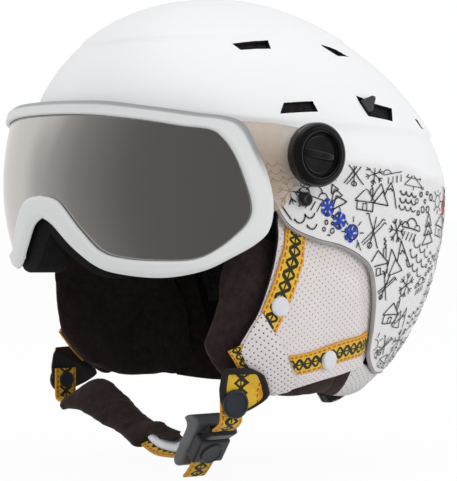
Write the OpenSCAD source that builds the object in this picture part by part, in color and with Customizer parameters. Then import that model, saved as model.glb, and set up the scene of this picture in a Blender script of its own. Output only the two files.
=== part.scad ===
// Visor ski helmet, in millimetres.
// +Z is up, -Y is the front and +X is the wearer's left.
// The origin is the point where the crown of the head meets the comfort liner.
// A place on the shell is an angle a, 0 at the front and 90 at the left, and a level t,
// 1 at the crown, 0 at the widest section and negative on the skirt below it.

/* [Shell] */
// Half width of the shell at its widest section
shell_half_w = 112.5; // [110:0.5:115]
// Reach of the shell ahead of its widest section
shell_front = 121; // [119:0.5:123]
// Reach of the shell behind its widest section
shell_rear = 147; // [144:0.5:150]
// Height of the shell above the crown of the head
crown_h = 33; // [32:0.5:35]
// Depth of the widest section below the crown of the head
belt_depth = 82; // [80:0.5:84]
// Wall of the hard shell
shell_wall = 2.4; // [2:0.1:2.8]
// Height of the raised side band over the lower shell
band_step = 1.6; // [1:0.1:2]
// Height of the raised crown panel over the side band
ridge_step = 0.8; // [0.4:0.1:1]
// Width of the trim bead along the shell's edge
trim_w = 2; // [1.5:0.1:3]

/* [Liner] */
// Thickness of the impact foam
foam_t = 21.5; // [20:0.5:23]
// Thickness of the impact foam at its rim
foam_rim_t = 11.5; // [10:0.5:13]
// Thickness of the brow and nape pads
pad_t = 8.5; // [7:0.5:9]
// Gap between layers that lie against each other
seat_gap = 0.3; // [0.2:0.05:0.4]

/* [Ears] */
// Thickness of the outer ear cover
cover_t = 8; // [6:0.5:9]
// Thickness of the fleece ear pad
ear_pad_t = 14; // [11:0.5:15]
// Reach of the ear flap's lower front corner out of the shell's own curve
flap_lean = 13; // [11:0.5:14]
// Width of the printed webbing
tape_w = 13.5; // [11:0.5:15]
// Thickness of the printed webbing
tape_t = 1.2; // [1:0.1:1.5]
// Diameter of a snap fastener's cap
snap_d = 11.5; // [9:0.5:13]

/* [Visor] */
// Wall of the visor lens
lens_wall = 2; // [1.6:0.1:2.4]
// Reach of the lens ahead of its widest section
lens_front = 105; // [104:0.5:107]
// Depth of the frame in front of the lens
frame_t = 3.2; // [2.5:0.1:4]
// Radius of the post that the visor turns on
post_r = 7; // [6:0.5:8]
// Radius of the stud that the knob turns on
stud_r = 2.5; // [2:0.1:3]
// Radial running clearance of the turning fits
run_gap = 0.06; // [0.04:0.01:0.08]
// Radius of the pivot knob
knob_r = 18.5; // [17:0.5:20]
// Depth of the pivot knob
knob_h = 8.5; // [7:0.5:10]

/* [Chin strap] */
// Width of the chin webbing
strap_w = 15; // [13:0.5:17]
// Thickness of the chin webbing
strap_t = 1.6; // [1.2:0.1:2]
// Width of the chin pad
chin_pad_w = 31; // [27:0.5:34]
// Thickness of the chin pad
chin_pad_h = 9; // [8:0.5:11]
// Radius of the button that the strap swings on
button_r = 8; // [7:0.25:9]
// Length of the buckle body
buckle_l = 17; // [15:0.5:19]

/* [Fit dial] */
// Radius of the fit dial
dial_r = 11.5; // [10:0.5:13]
// Depth of the fit dial
dial_h = 7; // [6:0.5:8]

/* [Hidden] */

$fn = 48;

// The shell's plan and section
shell_mid_y = 17.5;
plan_power = 2.25;
belt_tilt = 2;
bow_front = 2.3;
bow_rear = 1.65;
bow_side = 1.85;
tuck_ends = 0.75;
tuck_sides = 0.45;
skirt_drop = 137;
band_t = 0.23;
step_run = 0.04;
RIDGE_T = [[0, 0.5], [60, 0.56], [98, 0.63], [147, 0.6], [180, 0.6]];

// The shell's edge from the middle of the brow round the ear to the middle of the nape
RIM = [[0, 0.15], [13, 0.15], [26, 0.15], [38, 0.146], [50, 0.135], [62, 0.07], [70, -0.02],
    [76, -0.095], [85, -0.13], [95, -0.15], [103, -0.18], [108.5, -0.22], [112, -0.3],
    [114.5, -0.4], [118, -0.51], [128, -0.585], [138, -0.598], [148, -0.6], [158, -0.6],
    [169, -0.6], [180, -0.6]];
half_cols = 40;
skirt_rows = 6;
CROWN_LEVELS = [0.33, 0.42, 0.5, 0.54, 0.58, 0.62, 0.71, 0.81, 0.91];
liner_inset = 10;
liner_low_t = -0.36;
liner_gap = 0.8;
pad_gap = 1.15;
pad_edge_t = 1.5;
mm_per_deg = 2;
mm_per_t = 200;

// Vents: angle, level and outline in millimetres, rearward and up from that place
VENTS = [
    [69.5, 0.533, [[-12.5, 1.1], [11.4, 3.8], [10.4, -1.7], [-9.3, -3.2]]],
    [118, 0.535, [[-9, 4.5], [1.8, 1.7], [9.6, -3], [-2.4, -3.2]]],
    [81.8, 0.29, [[-9.1, 2], [10.2, 3], [12, -1.9], [-13.2, -3.1]]],
    [116.5, 0.302, [[-13.9, 6.5], [-0.2, 2.5], [15.3, 0.8], [9.5, -6], [-10.8, -3.7]]],
    [139.8, 0.267, [[-3.5, 2.7], [0.5, 2.2], [3.5, -2.7], [-0.5, -2.2]]]];
slider_vent = VENTS[3];
slider_turn = -9;

// The visor's plan, which is flat round the pivots
lens_mid_y = -6;
lens_rear = 220;
lens_power = 2.5;
lens_level = -80;
lens_bend = 118;
side_flat_z = -80;
side_bend = 300;
pivot_y = 0;
pivot_z = -62;
flange_r = 14;
flange_h = 1.3;
seat_r = 14.5;
seat_x = shell_half_w + 1;
flange_x = seat_x + flange_h;
lens_half_w = flange_x + seat_gap + lens_wall;
knob_x = lens_half_w + 0.5;
post_end_x = lens_half_w + seat_gap;
stud_grip = 4.5;

// The frame's outer and inner edge, from the middle of the top to the nose: angle and height
FRAME_OUT = [[0, -30], [15, -30.3], [30, -31.3], [46, -35], [58, -38.5], [67, -41],
    [71.5, -46], [75, -60], [78, -74], [79.7, -90], [78.7, -104], [75, -112], [68, -120],
    [60, -127.5], [49, -131.5], [36.5, -130.5], [25.5, -126.5], [14.5, -115], [6, -103],
    [0, -98.5]];
FRAME_IN = [[0, -38], [14, -38.3], [28, -39.5], [43, -42.5], [54, -46], [61.5, -48],
    [65, -52.5], [68.3, -62], [71, -75], [73.2, -90], [72.5, -99], [69, -107], [63.2, -116],
    [57.3, -121], [48.5, -122], [37, -121], [28, -117], [20, -104.5], [10.5, -89], [0, -85.5]];
frame_cols = 38;
// The frame's section: share of the way from its outer to its inner edge, share of its depth
FRAME_SECTION = [[0, 0.12], [0, 0.5], [0.15, 1], [0.8, 1], [1, 0.38], [1, 0.12]];
lens_edge = 0.25;
gasket_gap = 0.6;
// The clear arm from the frame to its round end at the pivot: angle, upper and lower edge
ARM = [[80, -44.2, -94.5], [83.5, -45.2, -91], [87, -46.2, -80.5], [90, -46.8, -77.6],
    [93, -47.2, -76.8], [95.5, -48.8, -75.2], [97.8, -51.6, -72.4], [99.4, -55.5, -68.5],
    [100.2, -60.5, -63.5]];

// The ear cover's edges: angle and level
COVER_BOTTOM = [[62, -0.5], [67, -0.6], [74.7, -0.677], [84, -0.64], [95, -0.605],
    [106, -0.58], [119, -0.545]];
COVER_FRONT = [[62, -0.5], [61.2, -0.46], [64, -0.4], [67.5, -0.33], [71.3, -0.2],
    [73, -0.06]];
COVER_REAR = [[119, -0.545], [119, -0.5], [117, -0.4], [114.5, -0.3], [111, -0.2],
    [106, -0.155]];
COVER_TOP = [[73, -0.06], [77, -0.08], [85, -0.107], [95, -0.128], [106, -0.155]];
PAD_BOTTOM = [[53, -0.53], [57.5, -0.61], [66, -0.665], [76, -0.705], [90, -0.715],
    [103, -0.7]];
PAD_FRONT = [[53, -0.53], [51, -0.46], [53, -0.4], [58.5, -0.31], [62, -0.2], [65, -0.05]];
PAD_REAR = [[103, -0.7], [107, -0.6], [107, -0.5], [106, -0.35], [102, -0.25], [98, -0.2]];
PAD_TOP = [[65, -0.05], [72, -0.12], [80, -0.16], [90, -0.18], [98, -0.2]];
PATCH = [[[61.6, -0.475], [67.2, -0.6]], [[63.5, -0.425], [76, -0.665]],
    [[66, -0.375], [83, -0.625]], [[67.9, -0.345], [75.6, -0.455]]];
// The shell's steep edge behind the ear, as level against angle
REAR_RIM = [for (i = [15:-1:10]) [RIM[i][1], RIM[i][0]]];
cover_tuck = 1.5;
cover_lead = 4;
flap_run = 90;
FLAP_WAY = [0.83, -0.56, 0];
cover_rise = 4.6;
FRONT_TAPE = [[71.1, -0.374], [72.8, -0.34], [75.5, -0.27], [77.3, -0.2], [77.8, -0.14]];
REAR_TAPE = [[79.8, -0.545], [88, -0.532], [98, -0.502], [107, -0.484], [113.9, -0.469]];
tape_lift = 0.8;
patch_lift = 0.65;
patch_t = 1.1;
snap_gap = 0.95;
SNAPS = [[73.2, -0.325], [94.6, -0.515]];
NECK_TOP = [[108, -0.56], [113, -0.56], [122, -0.6], [140, -0.632], [163, -0.64]];
NECK_BOTTOM = [[108, -0.69], [113, -0.7], [122, -0.7], [140, -0.7], [163, -0.7]];

// The chin strap's line, from the right anchor to the buckle
anchor_x = 95;
anchor_y = -40.5;
anchor_z = -204;
tab_t = 1.8;
// The anchor tab's front and rear edge at heights above its rivet, rearward from the rivet
TAB = [[-6.5, -2, 4.5], [-3, -4.7, 14.5], [1, -8, 22.5], [4, -8.7, 24.5], [8.5, -9, 22.5],
    [12.5, -8.3, 20], [16.5, -7.5, 16.5], [20.5, -5, 8]];
// It is flat round the rivet and then follows the ear flap outward
TAB_SLOPE = [0.31, 0.57];
tab_flat = 8.8;
rivet_r = 3;
eyelet_r = 7;
eyelet_w = 13;
eyelet_drop = 7.2;
eyelet_x = anchor_x - seat_gap - strap_t;
strap_from = [eyelet_x + strap_t / 2, anchor_y, anchor_z - eyelet_drop - 0.6];
buckle_at = [71, -40.5, -231.5];
buckle_tilt = 37;
buckle_w = 21;
buckle_t = 8;
tongue_t = 9;
tongue_low = 21;
tongue_high = 12;
CHIN = [[-strap_from[0], strap_from[1], strap_from[2]], [-92, -40.5, -215.2],
    [-82, -41, -214.5], [-69, -41, -211], [-53, -41, -213], [-33, -41, -219], [-8, -41, -227],
    [10, -41, -232.5], [26, -41, -237],
    buckle_pt([-buckle_t / 2 - seat_gap - tongue_t - 1.1, 0, 2 - tongue_low])];
chin_pad_from = 0.35;
chin_pad_to = 0.8;
chin_lean = [0, 0.89, 0.45];
SIDE_STRAP = [strap_from, [92.3, -40.5, -216], [84.5, -40.5, -220.5],
    buckle_pt([0, 0, buckle_l / 2 + 0.9])];
badge_r = 7.2;
// The webbing's free end below the buckle, in the buckle's own place
TAIL = [[0, 0, -buckle_l / 2 - seat_gap], [0, 0, -13], [-0.8, 0, -19], [-2, 0, -24]];

// Place that the buckle's own coordinates name: X outward from its face, Z up along the strap
function buckle_pt(p) = buckle_at + [p[0] * cos(buckle_tilt) + p[2] * sin(buckle_tilt), p[1],
    p[2] * cos(buckle_tilt) - p[0] * sin(buckle_tilt)];
function mix(a, b, k) = a + (b - a) * k;
function clip(x) = min(max(x, 0), 1);
function ease(x) = let (k = clip(x)) k * k * (3 - 2 * k);
function unit(v) = v / norm(v);
// Smooth curve through a list of points, u from 0 to 1
function spline(points, u) =
    let (last = len(points) - 1,
        s = clip(u) * last,
        i = min(floor(s), last - 1),
        k = s - i,
        a = points[max(i - 1, 0)],
        b = points[i],
        c = points[i + 1],
        d = points[min(i + 2, last)])
    b + (c - a) * k / 2 + (2 * a - 5 * b + 4 * c - d) * k * k / 2
    + (3 * (b - c) + d - a) * k * k * k / 2;
// Radius of a plan outline with its own reach to the front, rear and sides
function plan_r(a, front, rear, half_w, power) =
    pow(pow(abs(cos(a)) / (cos(a) > 0 ? front : rear), power)
        + pow(abs(sin(a)) / half_w, power), -1 / power);
// How far the crown panel and the side band stand above the shell's mean surface
function relief(a, t) =
    band_step * (ease((t - band_t) / step_run + 0.5) - 0.5)
    + ridge_step * (ease((t - lookup(abs(a), RIDGE_T)) / step_run + 0.5) - 0.5);
// Point of the shell's outer surface, or of a layer off millimetres outside it
function shell_pt(a, t, off = 0) =
    let (c = cos(a),
        s = sin(a),
        lift = off + relief(a, t),
        r = plan_r(a, shell_front + lift, shell_rear + lift, shell_half_w + lift, plan_power),
        bow = bow_front * pow(max(c, 0), 2) + bow_rear * pow(max(-c, 0), 2) + bow_side * s * s,
        tuck = mix(tuck_ends, tuck_sides, s * s),
        level = belt_tilt * c - belt_depth,
        k = t > 0 ? pow(cos(90 * t), 2 / bow) : 1 - tuck * (1 - cos(90 * t)),
        z = t > 0 ? pow(sin(90 * t), 2 / bow) * (crown_h + lift - level)
            : sin(90 * t) * skirt_drop)
    [r * k * s, shell_mid_y - r * k * c, level + z];
// Sideways reach of the shell at a given y and z above its widest section
function side_x(y, z, off = 0) =
    let (k = t_radius((z + belt_depth) / (crown_h + belt_depth)))
    (shell_half_w + off - band_step / 2 - ridge_step / 2) * k
    * pow(1 - pow((shell_mid_y - y) / (shell_front * k), plan_power), 1 / plan_power);
function t_radius(h) = pow(cos(asin(pow(clip(h), bow_side / 2))), 2 / bow_side);
// Outward direction of the shell's surface
function shell_normal(a, t) =
    let (e = 0.02)
    unit(cross(shell_pt(a + 50 * e, t) - shell_pt(a - 50 * e, t),
        shell_pt(a, t + e) - shell_pt(a, t - e)));
// Point of the visor's outer surface at angle a and height z
function lens_pt(a, z, off = 0) =
    let (side = lens_half_w + off - pow(max(0, side_flat_z - z), 2) / (2 * side_bend),
        front = lens_front + off - pow(z - lens_level, 2) / (2 * lens_bend),
        r = plan_r(a, front, lens_rear, side, lens_power))
    [r * sin(a), lens_mid_y - r * cos(a), z];
// Point on the shell's edge, d millimetres beyond it, for u from 0 at the brow to 1 at the nape
function rim_at(u, d = 0) =
    let (e = 0.01,
        along = spline(RIM, u + e) - spline(RIM, u - e),
        way = unit([along[1] * mm_per_t, -along[0] * mm_per_deg]))
    spline(RIM, u) + [way[0] / mm_per_deg, way[1] / mm_per_t] * d;
// The same for a column number that runs round the whole helmet
function rim_col(j, d = 0) =
    let (u = j <= half_cols ? j / half_cols : 2 - j / half_cols,
        p = rim_at(u, d))
    j <= half_cols ? p : [-p[0], p[1]];
// Place inside a patch that four curves bound
function coons(bottom, top, front, rear, u, v) =
    mix(spline(bottom, u), spline(top, u), v) + mix(spline(front, v), spline(rear, v), u)
    - mix(mix(bottom[0], bottom[len(bottom) - 1], u), mix(top[0], top[len(top) - 1], u), v);
// Distance of a place on the ear from the shell's edge
function rim_gap(a, t) =
    min((lookup(a, RIM) - t) * mm_per_t, (lookup(t, REAR_RIM) - a) * mm_per_deg);
// Offset of the ear cover's outer face, which rises out from under the shell
function cover_off(a, t) =
    -shell_wall - cover_tuck + cover_rise * ease((rim_gap(a, t) - cover_lead) / 14);
// Point of the ear flap, which hangs out and forward from the shell's tuck as it goes down
function ear_pt(a, t, off) =
    shell_pt(a, t, off) + flap_lean * ease(rim_gap(a, t) / flap_run) * unit(FLAP_WAY);
// Roundness of a cushion: 0 at its edges and 1 over its middle, with soft shoulders
function crown_of(u, v, edge) =
    let (a = clip(min(u, 1 - u) / edge),
        b = clip(min(v, 1 - v) / edge))
    sqrt(max(0, 1 - pow(1 - a, 2))) * sqrt(max(0, 1 - pow(1 - b, 2)));
// The liner's edge for a column, inside the shell's edge
function liner_rim(j) = let (p = rim_col(j, -liner_inset)) [p[0], max(p[1], liner_low_t)];
// The liner's edge at an angle
function liner_edge(a) =
    lookup(abs(a), [for (j = [0:half_cols]) [abs(liner_rim(j)[0]), liner_rim(j)[1]]]);
// Offset of the liner's inner face, which thickens from its edge to the raised band
function liner_in(t, edge) = -shell_wall - liner_gap
    - mix(foam_rim_t, foam_t, clip((t - edge) / (band_t + step_run / 2 - edge)));

// Closed solid between two open grids of points, rows upward and columns from front to rear
module slab(outer, inner) {
    rows = len(outer);
    cols = len(outer[0]);
    function at(k, i, j) = (k * rows + i) * cols + j;
    polyhedron(
        points = concat([for (r = outer) each r], [for (r = inner) each r]),
        faces = concat(
            [for (i = [0:rows - 2], j = [0:cols - 2]) each [
                [at(0, i, j), at(0, i + 1, j), at(0, i + 1, j + 1)],
                [at(0, i, j), at(0, i + 1, j + 1), at(0, i, j + 1)],
                [at(1, i, j), at(1, i + 1, j + 1), at(1, i + 1, j)],
                [at(1, i, j), at(1, i, j + 1), at(1, i + 1, j + 1)]]],
            [for (j = [0:cols - 2]) each [
                [at(0, 0, j), at(0, 0, j + 1), at(1, 0, j + 1)],
                [at(0, 0, j), at(1, 0, j + 1), at(1, 0, j)],
                [at(0, rows - 1, j + 1), at(0, rows - 1, j), at(1, rows - 1, j)],
                [at(0, rows - 1, j + 1), at(1, rows - 1, j), at(1, rows - 1, j + 1)]]],
            [for (i = [0:rows - 2]) each [
                [at(0, i + 1, 0), at(0, i, 0), at(1, i, 0)],
                [at(0, i + 1, 0), at(1, i, 0), at(1, i + 1, 0)],
                [at(0, i, cols - 1), at(0, i + 1, cols - 1), at(1, i + 1, cols - 1)],
                [at(0, i, cols - 1), at(1, i + 1, cols - 1), at(1, i, cols - 1)]]]));
}

// Closed bowl between two sets of rings, each set with its own top point
module dome(outer, outer_top, inner, inner_top) {
    rows = len(outer);
    cols = len(outer[0]);
    tip = 2 * rows * cols;
    function at(k, i, j) = (k * rows + i) * cols + j % cols;
    polyhedron(
        points = concat([for (r = outer) each r], [for (r = inner) each r],
            [outer_top, inner_top]),
        faces = concat(
            [for (i = [0:rows - 2], j = [0:cols - 1]) each [
                [at(0, i, j), at(0, i + 1, j), at(0, i + 1, j + 1)],
                [at(0, i, j), at(0, i + 1, j + 1), at(0, i, j + 1)],
                [at(1, i, j), at(1, i + 1, j + 1), at(1, i + 1, j)],
                [at(1, i, j), at(1, i, j + 1), at(1, i + 1, j + 1)]]],
            [for (j = [0:cols - 1]) each [
                [at(0, rows - 1, j), tip, at(0, rows - 1, j + 1)],
                [at(1, rows - 1, j), at(1, rows - 1, j + 1), tip + 1],
                [at(0, 0, j), at(0, 0, j + 1), at(1, 0, j + 1)],
                [at(0, 0, j), at(1, 0, j + 1), at(1, 0, j)]]]));
}

// Solid swept through a list of rings, open with two ends or closed on itself
module tube(rings, closed = false) {
    n = len(rings[0]);
    m = len(rings);
    spans = closed ? m : m - 1;
    function at(k, i) = (k % m) * n + i % n;
    ends = closed ? [] : [[for (i = [0:n - 1]) i], [for (i = [n - 1:-1:0]) at(m - 1, i)]];
    polyhedron(
        points = [for (r = rings) each r],
        faces = concat(ends,
            [for (k = [0:spans - 1], i = [0:n - 1]) each [
                [at(k, i), at(k + 1, i), at(k + 1, i + 1)],
                [at(k, i), at(k + 1, i + 1), at(k, i + 1)]]]));
}

// Sleeve between an outer and an inner list of rings
module sleeve(outer, inner) {
    n = len(outer[0]);
    m = len(outer);
    function at(k, r, i) = (k * m + r) * n + i % n;
    polyhedron(
        points = concat([for (r = outer) each r], [for (r = inner) each r]),
        faces = concat(
            [for (r = [0:m - 2], i = [0:n - 1]) each [
                [at(0, r, i), at(0, r + 1, i), at(0, r + 1, i + 1)],
                [at(0, r, i), at(0, r + 1, i + 1), at(0, r, i + 1)],
                [at(1, r, i), at(1, r + 1, i + 1), at(1, r + 1, i)],
                [at(1, r, i), at(1, r, i + 1), at(1, r + 1, i + 1)]]],
            [for (i = [0:n - 1]) each [
                [at(0, 0, i), at(0, 0, i + 1), at(1, 0, i + 1)],
                [at(0, 0, i), at(1, 0, i + 1), at(1, 0, i)],
                [at(0, m - 1, i + 1), at(0, m - 1, i), at(1, m - 1, i)],
                [at(0, m - 1, i + 1), at(1, m - 1, i), at(1, m - 1, i + 1)]]]));
}

// Ring of a flat strap at u along a path: half width w and half thickness h, power rounds it
function strap_ring(path, u, side, w, h, corners = 4, power = 0) =
    let (along = unit(spline(path, u + 0.02) - spline(path, u - 0.02)),
        across = unit(side - along * (side * along)),
        up = cross(along, across))
    [for (i = [0:corners - 1])
        let (a = 360 * (i + 0.5) / corners,
            p = power == 0 ? [sign(cos(a)), sign(sin(a))]
                : [sign(cos(a)) * pow(abs(cos(a)), power), sign(sin(a)) * pow(abs(sin(a)), power)])
        spline(path, u) + across * p[0] * w + up * p[1] * h];

// Moves its children to a place on the shell: their Z outward, X rearward and Y upward
module on_shell(a, t, off = 0) {
    n = shell_normal(a, t);
    translate(shell_pt(a, t, off))
        rotate([0, acos(n[2]), atan2(n[1], n[0])])
            rotate([0, 0, 90]) children();
}

// The same on the leaning ear flap
module on_ear(a, t, off) {
    e = 0.5;
    n = unit(cross(ear_pt(a + e, t, off) - ear_pt(a - e, t, off),
        ear_pt(a, t + e / 100, off) - ear_pt(a, t - e / 100, off)));
    translate(ear_pt(a, t, off)) rotate([0, acos(n[2]), atan2(n[1], n[0])])
        rotate([0, 0, 90]) children();
}

// Moves its children to the left pivot, their Z outward along the pivot's axis
module at_pivot(x) {
    translate([x, pivot_y, pivot_z]) rotate([0, 90, 0]) children();
}

// Draws its children on the left side, or mirrored on the right
module on_side(side) {
    if (side > 0) children();
    else mirror([1, 0, 0]) children();
}

// Levels of the shell's rows from its edge to the crown
function shell_levels(edge) = concat(
    [for (k = [0:skirt_rows - 1]) mix(edge, band_t - step_run / 2, k / skirt_rows)],
    [band_t - step_run / 2, band_t, band_t + step_run / 2],
    CROWN_LEVELS);

// Rings of a layer of the helmet for a set of columns
function layer_rings(off) =
    let (cols = [for (j = [0:2 * half_cols - 1]) rim_col(j)],
        levels = [for (c = cols) shell_levels(c[1])])
    [for (i = [0:len(levels[0]) - 1])
        [for (j = [0:len(cols) - 1]) shell_pt(cols[j][0], levels[j][i], off)]];

module pivot_seat() {
    n = 24;
    function ring(x_of) = [for (i = [0:n - 1])
        let (y = pivot_y + seat_r * cos(360 * i / n),
            z = pivot_z + seat_r * sin(360 * i / n))
        [x_of < 0 ? side_x(y, z, x_of) : x_of, y, z]];
    tube([ring(-shell_wall / 2), ring(seat_x)]);
}

module shell() color("white") {
    cut_depth = 10;
    difference() {
        union() {
            dome(layer_rings(0), shell_pt(0, 1), layer_rings(-shell_wall),
                shell_pt(0, 1, -shell_wall));
            for (side = [1, -1]) on_side(side) pivot_seat();
        }
        for (side = [1, -1]) on_side(side) {
            for (v = VENTS) hull() on_shell(v[0], v[1])
                translate([0, 0, -cut_depth]) linear_extrude(2 * cut_depth) polygon(v[2]);
            at_pivot(seat_x - 20) cylinder(r = stud_r + seat_gap, h = 30);
        }
    }
}

module edge_trim() {
    near = 0.15;
    function ring(j) =
        let (a = rim_col(j, near),
            b = rim_col(j, trim_w))
        [shell_pt(a[0], a[1], -shell_wall - 0.4), shell_pt(a[0], a[1], 0.3),
            shell_pt(b[0], b[1], 0), shell_pt(b[0], b[1], -shell_wall)];
    color("silver") tube([for (j = [0:2 * half_cols - 1]) ring(j)], closed = true);
}

module foam_liner() {
    cols = [for (j = [0:2:2 * half_cols - 1]) liner_rim(j)];
    low_rows = 6;
    high = [band_t - step_run / 2, band_t + step_run / 2, 0.33, 0.42, 0.5, 0.6, 0.72, 0.86];
    rows = low_rows + len(high);
    function level(edge, i) = i < low_rows ? mix(edge, high[0], i / low_rows) : high[i - low_rows];
    back = -shell_wall - liner_gap;
    function rings(inside) = [for (i = [0:rows - 1])
        [for (c = cols)
            let (t = level(c[1], i))
            shell_pt(c[0], t, inside ? liner_in(t, c[1]) : back)]];
    color("dimgray") dome(rings(false), shell_pt(0, 1, back), rings(true),
        shell_pt(0, 1, liner_in(1, 0)));
}

module crown_pad() {
    edge = 0.56;
    cols = 26;
    back = liner_in(1, 0) - pad_gap;
    crown_pad_t = shell_pt(0, 1, back)[2];
    function off(t) = back - 1 - (crown_pad_t - 1) * ease((t - edge) / 0.25);
    function rings(inside) = [for (t = [edge, 0.6, 0.66, 0.74, 0.84, 0.93])
        [for (j = [0:cols - 1]) shell_pt(360 * j / cols - 180, t, inside ? off(t) : back)]];
    color("black") dome(rings(false), shell_pt(0, 1, back), rings(true), shell_pt(0, 1, off(1)));
}

// Crowned pad on the liner between two angles and two levels
module liner_pad(from, to, low, high, cols, rows) {
    function off(u, v) = -pad_edge_t - (pad_t - pad_edge_t) * crown_of(u, v, 0.3);
    function grid(inside) = [for (i = [0:rows])
        [for (j = [0:cols])
            let (a = mix(from, to, j / cols),
                t = mix(low, high, i / rows),
                base = liner_in(t, liner_edge(a > 180 ? 360 - a : a)) - pad_gap)
            shell_pt(a, t, inside ? base + off(j / cols, i / rows) : base)]];
    slab(grid(false), grid(true));
}

module brow_pad() color("black") liner_pad(-58, 58, 0.21, 0.45, 16, 6);
module nape_pad() color("black") liner_pad(132, 228, -0.62, -0.14, 16, 8);

module nape_yoke() {
    back = liner_in(-1, 0);
    function grid(off) = [for (i = [0:6])
        [for (j = [0:8]) shell_pt(mix(150, 210, j / 8), mix(-0.745, -0.375, i / 6), off)]];
    color("black") slab(grid(back + 2.5), grid(back));
}

// The dial stands on the yoke below the shell's tail
dial_level = -0.68;
dial_post_r = 4;
module at_dial() on_shell(180, dial_level, liner_in(-1, 0) + 2.5 + 0.8) children();

module dial_base() color("black") at_dial() {
    cylinder(r = dial_r - 1, h = 2);
    translate([0, 0, 2]) cylinder(r = dial_post_r, h = dial_h);
}

module lace_spool() color("gray") at_dial() translate([0, 0, 2.2]) difference() {
    cylinder(r = dial_r - 3, h = 2);
    translate([0, 0, -1]) cylinder(r = dial_post_r + run_gap, h = 4);
}

module fit_dial() color("black") at_dial() translate([0, 0, 4.4]) difference() {
    union() {
        cylinder(r = dial_r, h = dial_h - 1.5);
        translate([0, 0, dial_h - 1.5]) cylinder(r1 = dial_r, r2 = dial_r - 1.5, h = 1.5);
    }
    translate([0, 0, -1]) cylinder(r = dial_post_r + run_gap, h = dial_h - 0.5);
    for (i = [0:11]) rotate([0, 0, 30 * i]) translate([dial_r + 0.6, 0, -1])
        cylinder(r = 1.6, h = dial_h + 2, $fn = 16);
}

module ear_cover(side) {
    function grid(inside) = [for (i = [0:9])
        [for (j = [0:12])
            let (u = j / 12,
                v = i / 9,
                p = coons(COVER_BOTTOM, COVER_TOP, COVER_FRONT, COVER_REAR, u, v),
                r = crown_of(u, v, 0.16),
                face = cover_off(p[0], p[1]) - 0.8 * (1 - r))
            ear_pt(p[0], p[1], inside ? face - mix(2.5, cover_t - 0.6, r) : face)]];
    color("linen") on_side(side) slab(grid(false), grid(true));
}

module ear_pad(side) {
    function grid(inside) = [for (i = [0:9])
        [for (j = [0:12])
            let (u = j / 12,
                v = i / 9,
                p = coons(PAD_BOTTOM, PAD_TOP, PAD_FRONT, PAD_REAR, u, v),
                r = crown_of(u, v, 0.3),
                back = -shell_wall - cover_tuck + cover_rise - cover_t - seat_gap
                    - 2.6 * ease((v - 0.7) / 0.2))
            ear_pt(p[0], p[1], inside ? back - mix(3, ear_pad_t, r) : back - 0.8 * (1 - r))]];
    color("black") on_side(side) slab(grid(false), grid(true));
}

// Tape on the ear cover along a line of places, its first end cut back on one edge by a share
module cover_tape(line, cut, steps = 8) {
    function place(u, side) =
        let (lead = cut * (cut > 0 ? side + 1 : side - 1) / 2,
            k = mix(lead, 1, u),
            along = spline(line, k + 0.02) - spline(line, k - 0.02),
            way = unit([along[1] * mm_per_t, -along[0] * mm_per_deg]))
        spline(line, k) + [way[0] / mm_per_deg, way[1] / mm_per_t] * side * tape_w / 2;
    function grid(off) = [for (i = [0, 1, 2])
        [for (j = [0:steps])
            let (p = place(j / steps, 1 - i))
            ear_pt(p[0], p[1], cover_off(p[0], p[1]) + tape_lift + off)]];
    slab(grid(tape_t), grid(0));
}

module front_tape(side) on_side(side) color("gold") cover_tape(FRONT_TAPE, -0.12);
module rear_tape(side) on_side(side) color("gold") cover_tape(REAR_TAPE, 0.07);

module ear_patch(side) {
    fore = [for (q = PATCH) q[0]];
    rear = [for (q = PATCH) q[1]];
    function place(u, v) = mix(spline(fore, v), spline(rear, v), u);
    function grid(off) = [for (i = [0:4])
        [for (j = [0:5])
            let (p = place(j / 5, i / 4))
            ear_pt(p[0], p[1], cover_off(p[0], p[1]) + off)]];
    color("linen") on_side(side) slab(grid(patch_lift + patch_t), grid(patch_lift));
}

module snaps(side) on_side(side) color("whitesmoke")
    for (s = SNAPS) on_ear(s[0], s[1], cover_off(s[0], s[1]) + tape_lift + tape_t + snap_gap) {
        cylinder(d = snap_d, h = 1.2);
        translate([0, 0, 1.2]) cylinder(d1 = snap_d, d2 = snap_d - 2.4, h = 1.2);
    }

module neck_roll(side) {
    function grid(inside) = [for (i = [0:5])
        [for (j = [0:10])
            let (u = j / 10,
                v = i / 5,
                p = mix(spline(NECK_BOTTOM, u), spline(NECK_TOP, u), v),
                r = crown_of(u, v, 0.35))
            shell_pt(p[0], p[1], inside ? -7.2 - 4 * r : -6.6 + 4.6 * r)]];
    color("linen") on_side(side) slab(grid(false), grid(true));
}

// Heights of the lens's upper and lower edge at angle a
function lens_edges(a) = abs(a) >= ARM[0][0]
    ? [lookup(abs(a), [for (q = ARM) [q[0], q[2]]]), lookup(abs(a), [for (q = ARM) [q[0], q[1]]])]
    : let (n = len(FRAME_OUT) - 1,
        edge = [for (i = [0:n]) mix(FRAME_OUT[i], FRAME_IN[i], lens_edge)],
        top = concat([for (i = [0:5]) edge[i]], [[ARM[0][0], ARM[0][1]]]),
        low = concat([for (i = [n:-1:10]) edge[i]], [[ARM[0][0], ARM[0][2]]]))
    [lookup(abs(a), low), lookup(abs(a), top)];

module visor_lens() {
    half = concat([0, 5, 11, 17, 23, 30, 37, 44, 51, 58, 64, 70, 75.5], [for (q = ARM) q[0]]);
    angles = concat([for (i = [len(half) - 1:-1:1]) -half[i]], half);
    rows = 7;
    function grid(off) = [for (i = [0:rows])
        [for (a = angles)
            let (e = lens_edges(a))
            lens_pt(a, mix(e[0], e[1], i / rows), off)]];
    color([0.35, 0.35, 0.35, 0.6]) difference() {
        slab(grid(0), grid(-lens_wall));
        for (side = [1, -1]) on_side(side) at_pivot(lens_half_w - 10)
            cylinder(r = post_r + run_gap, h = 20);
    }
}

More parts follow.
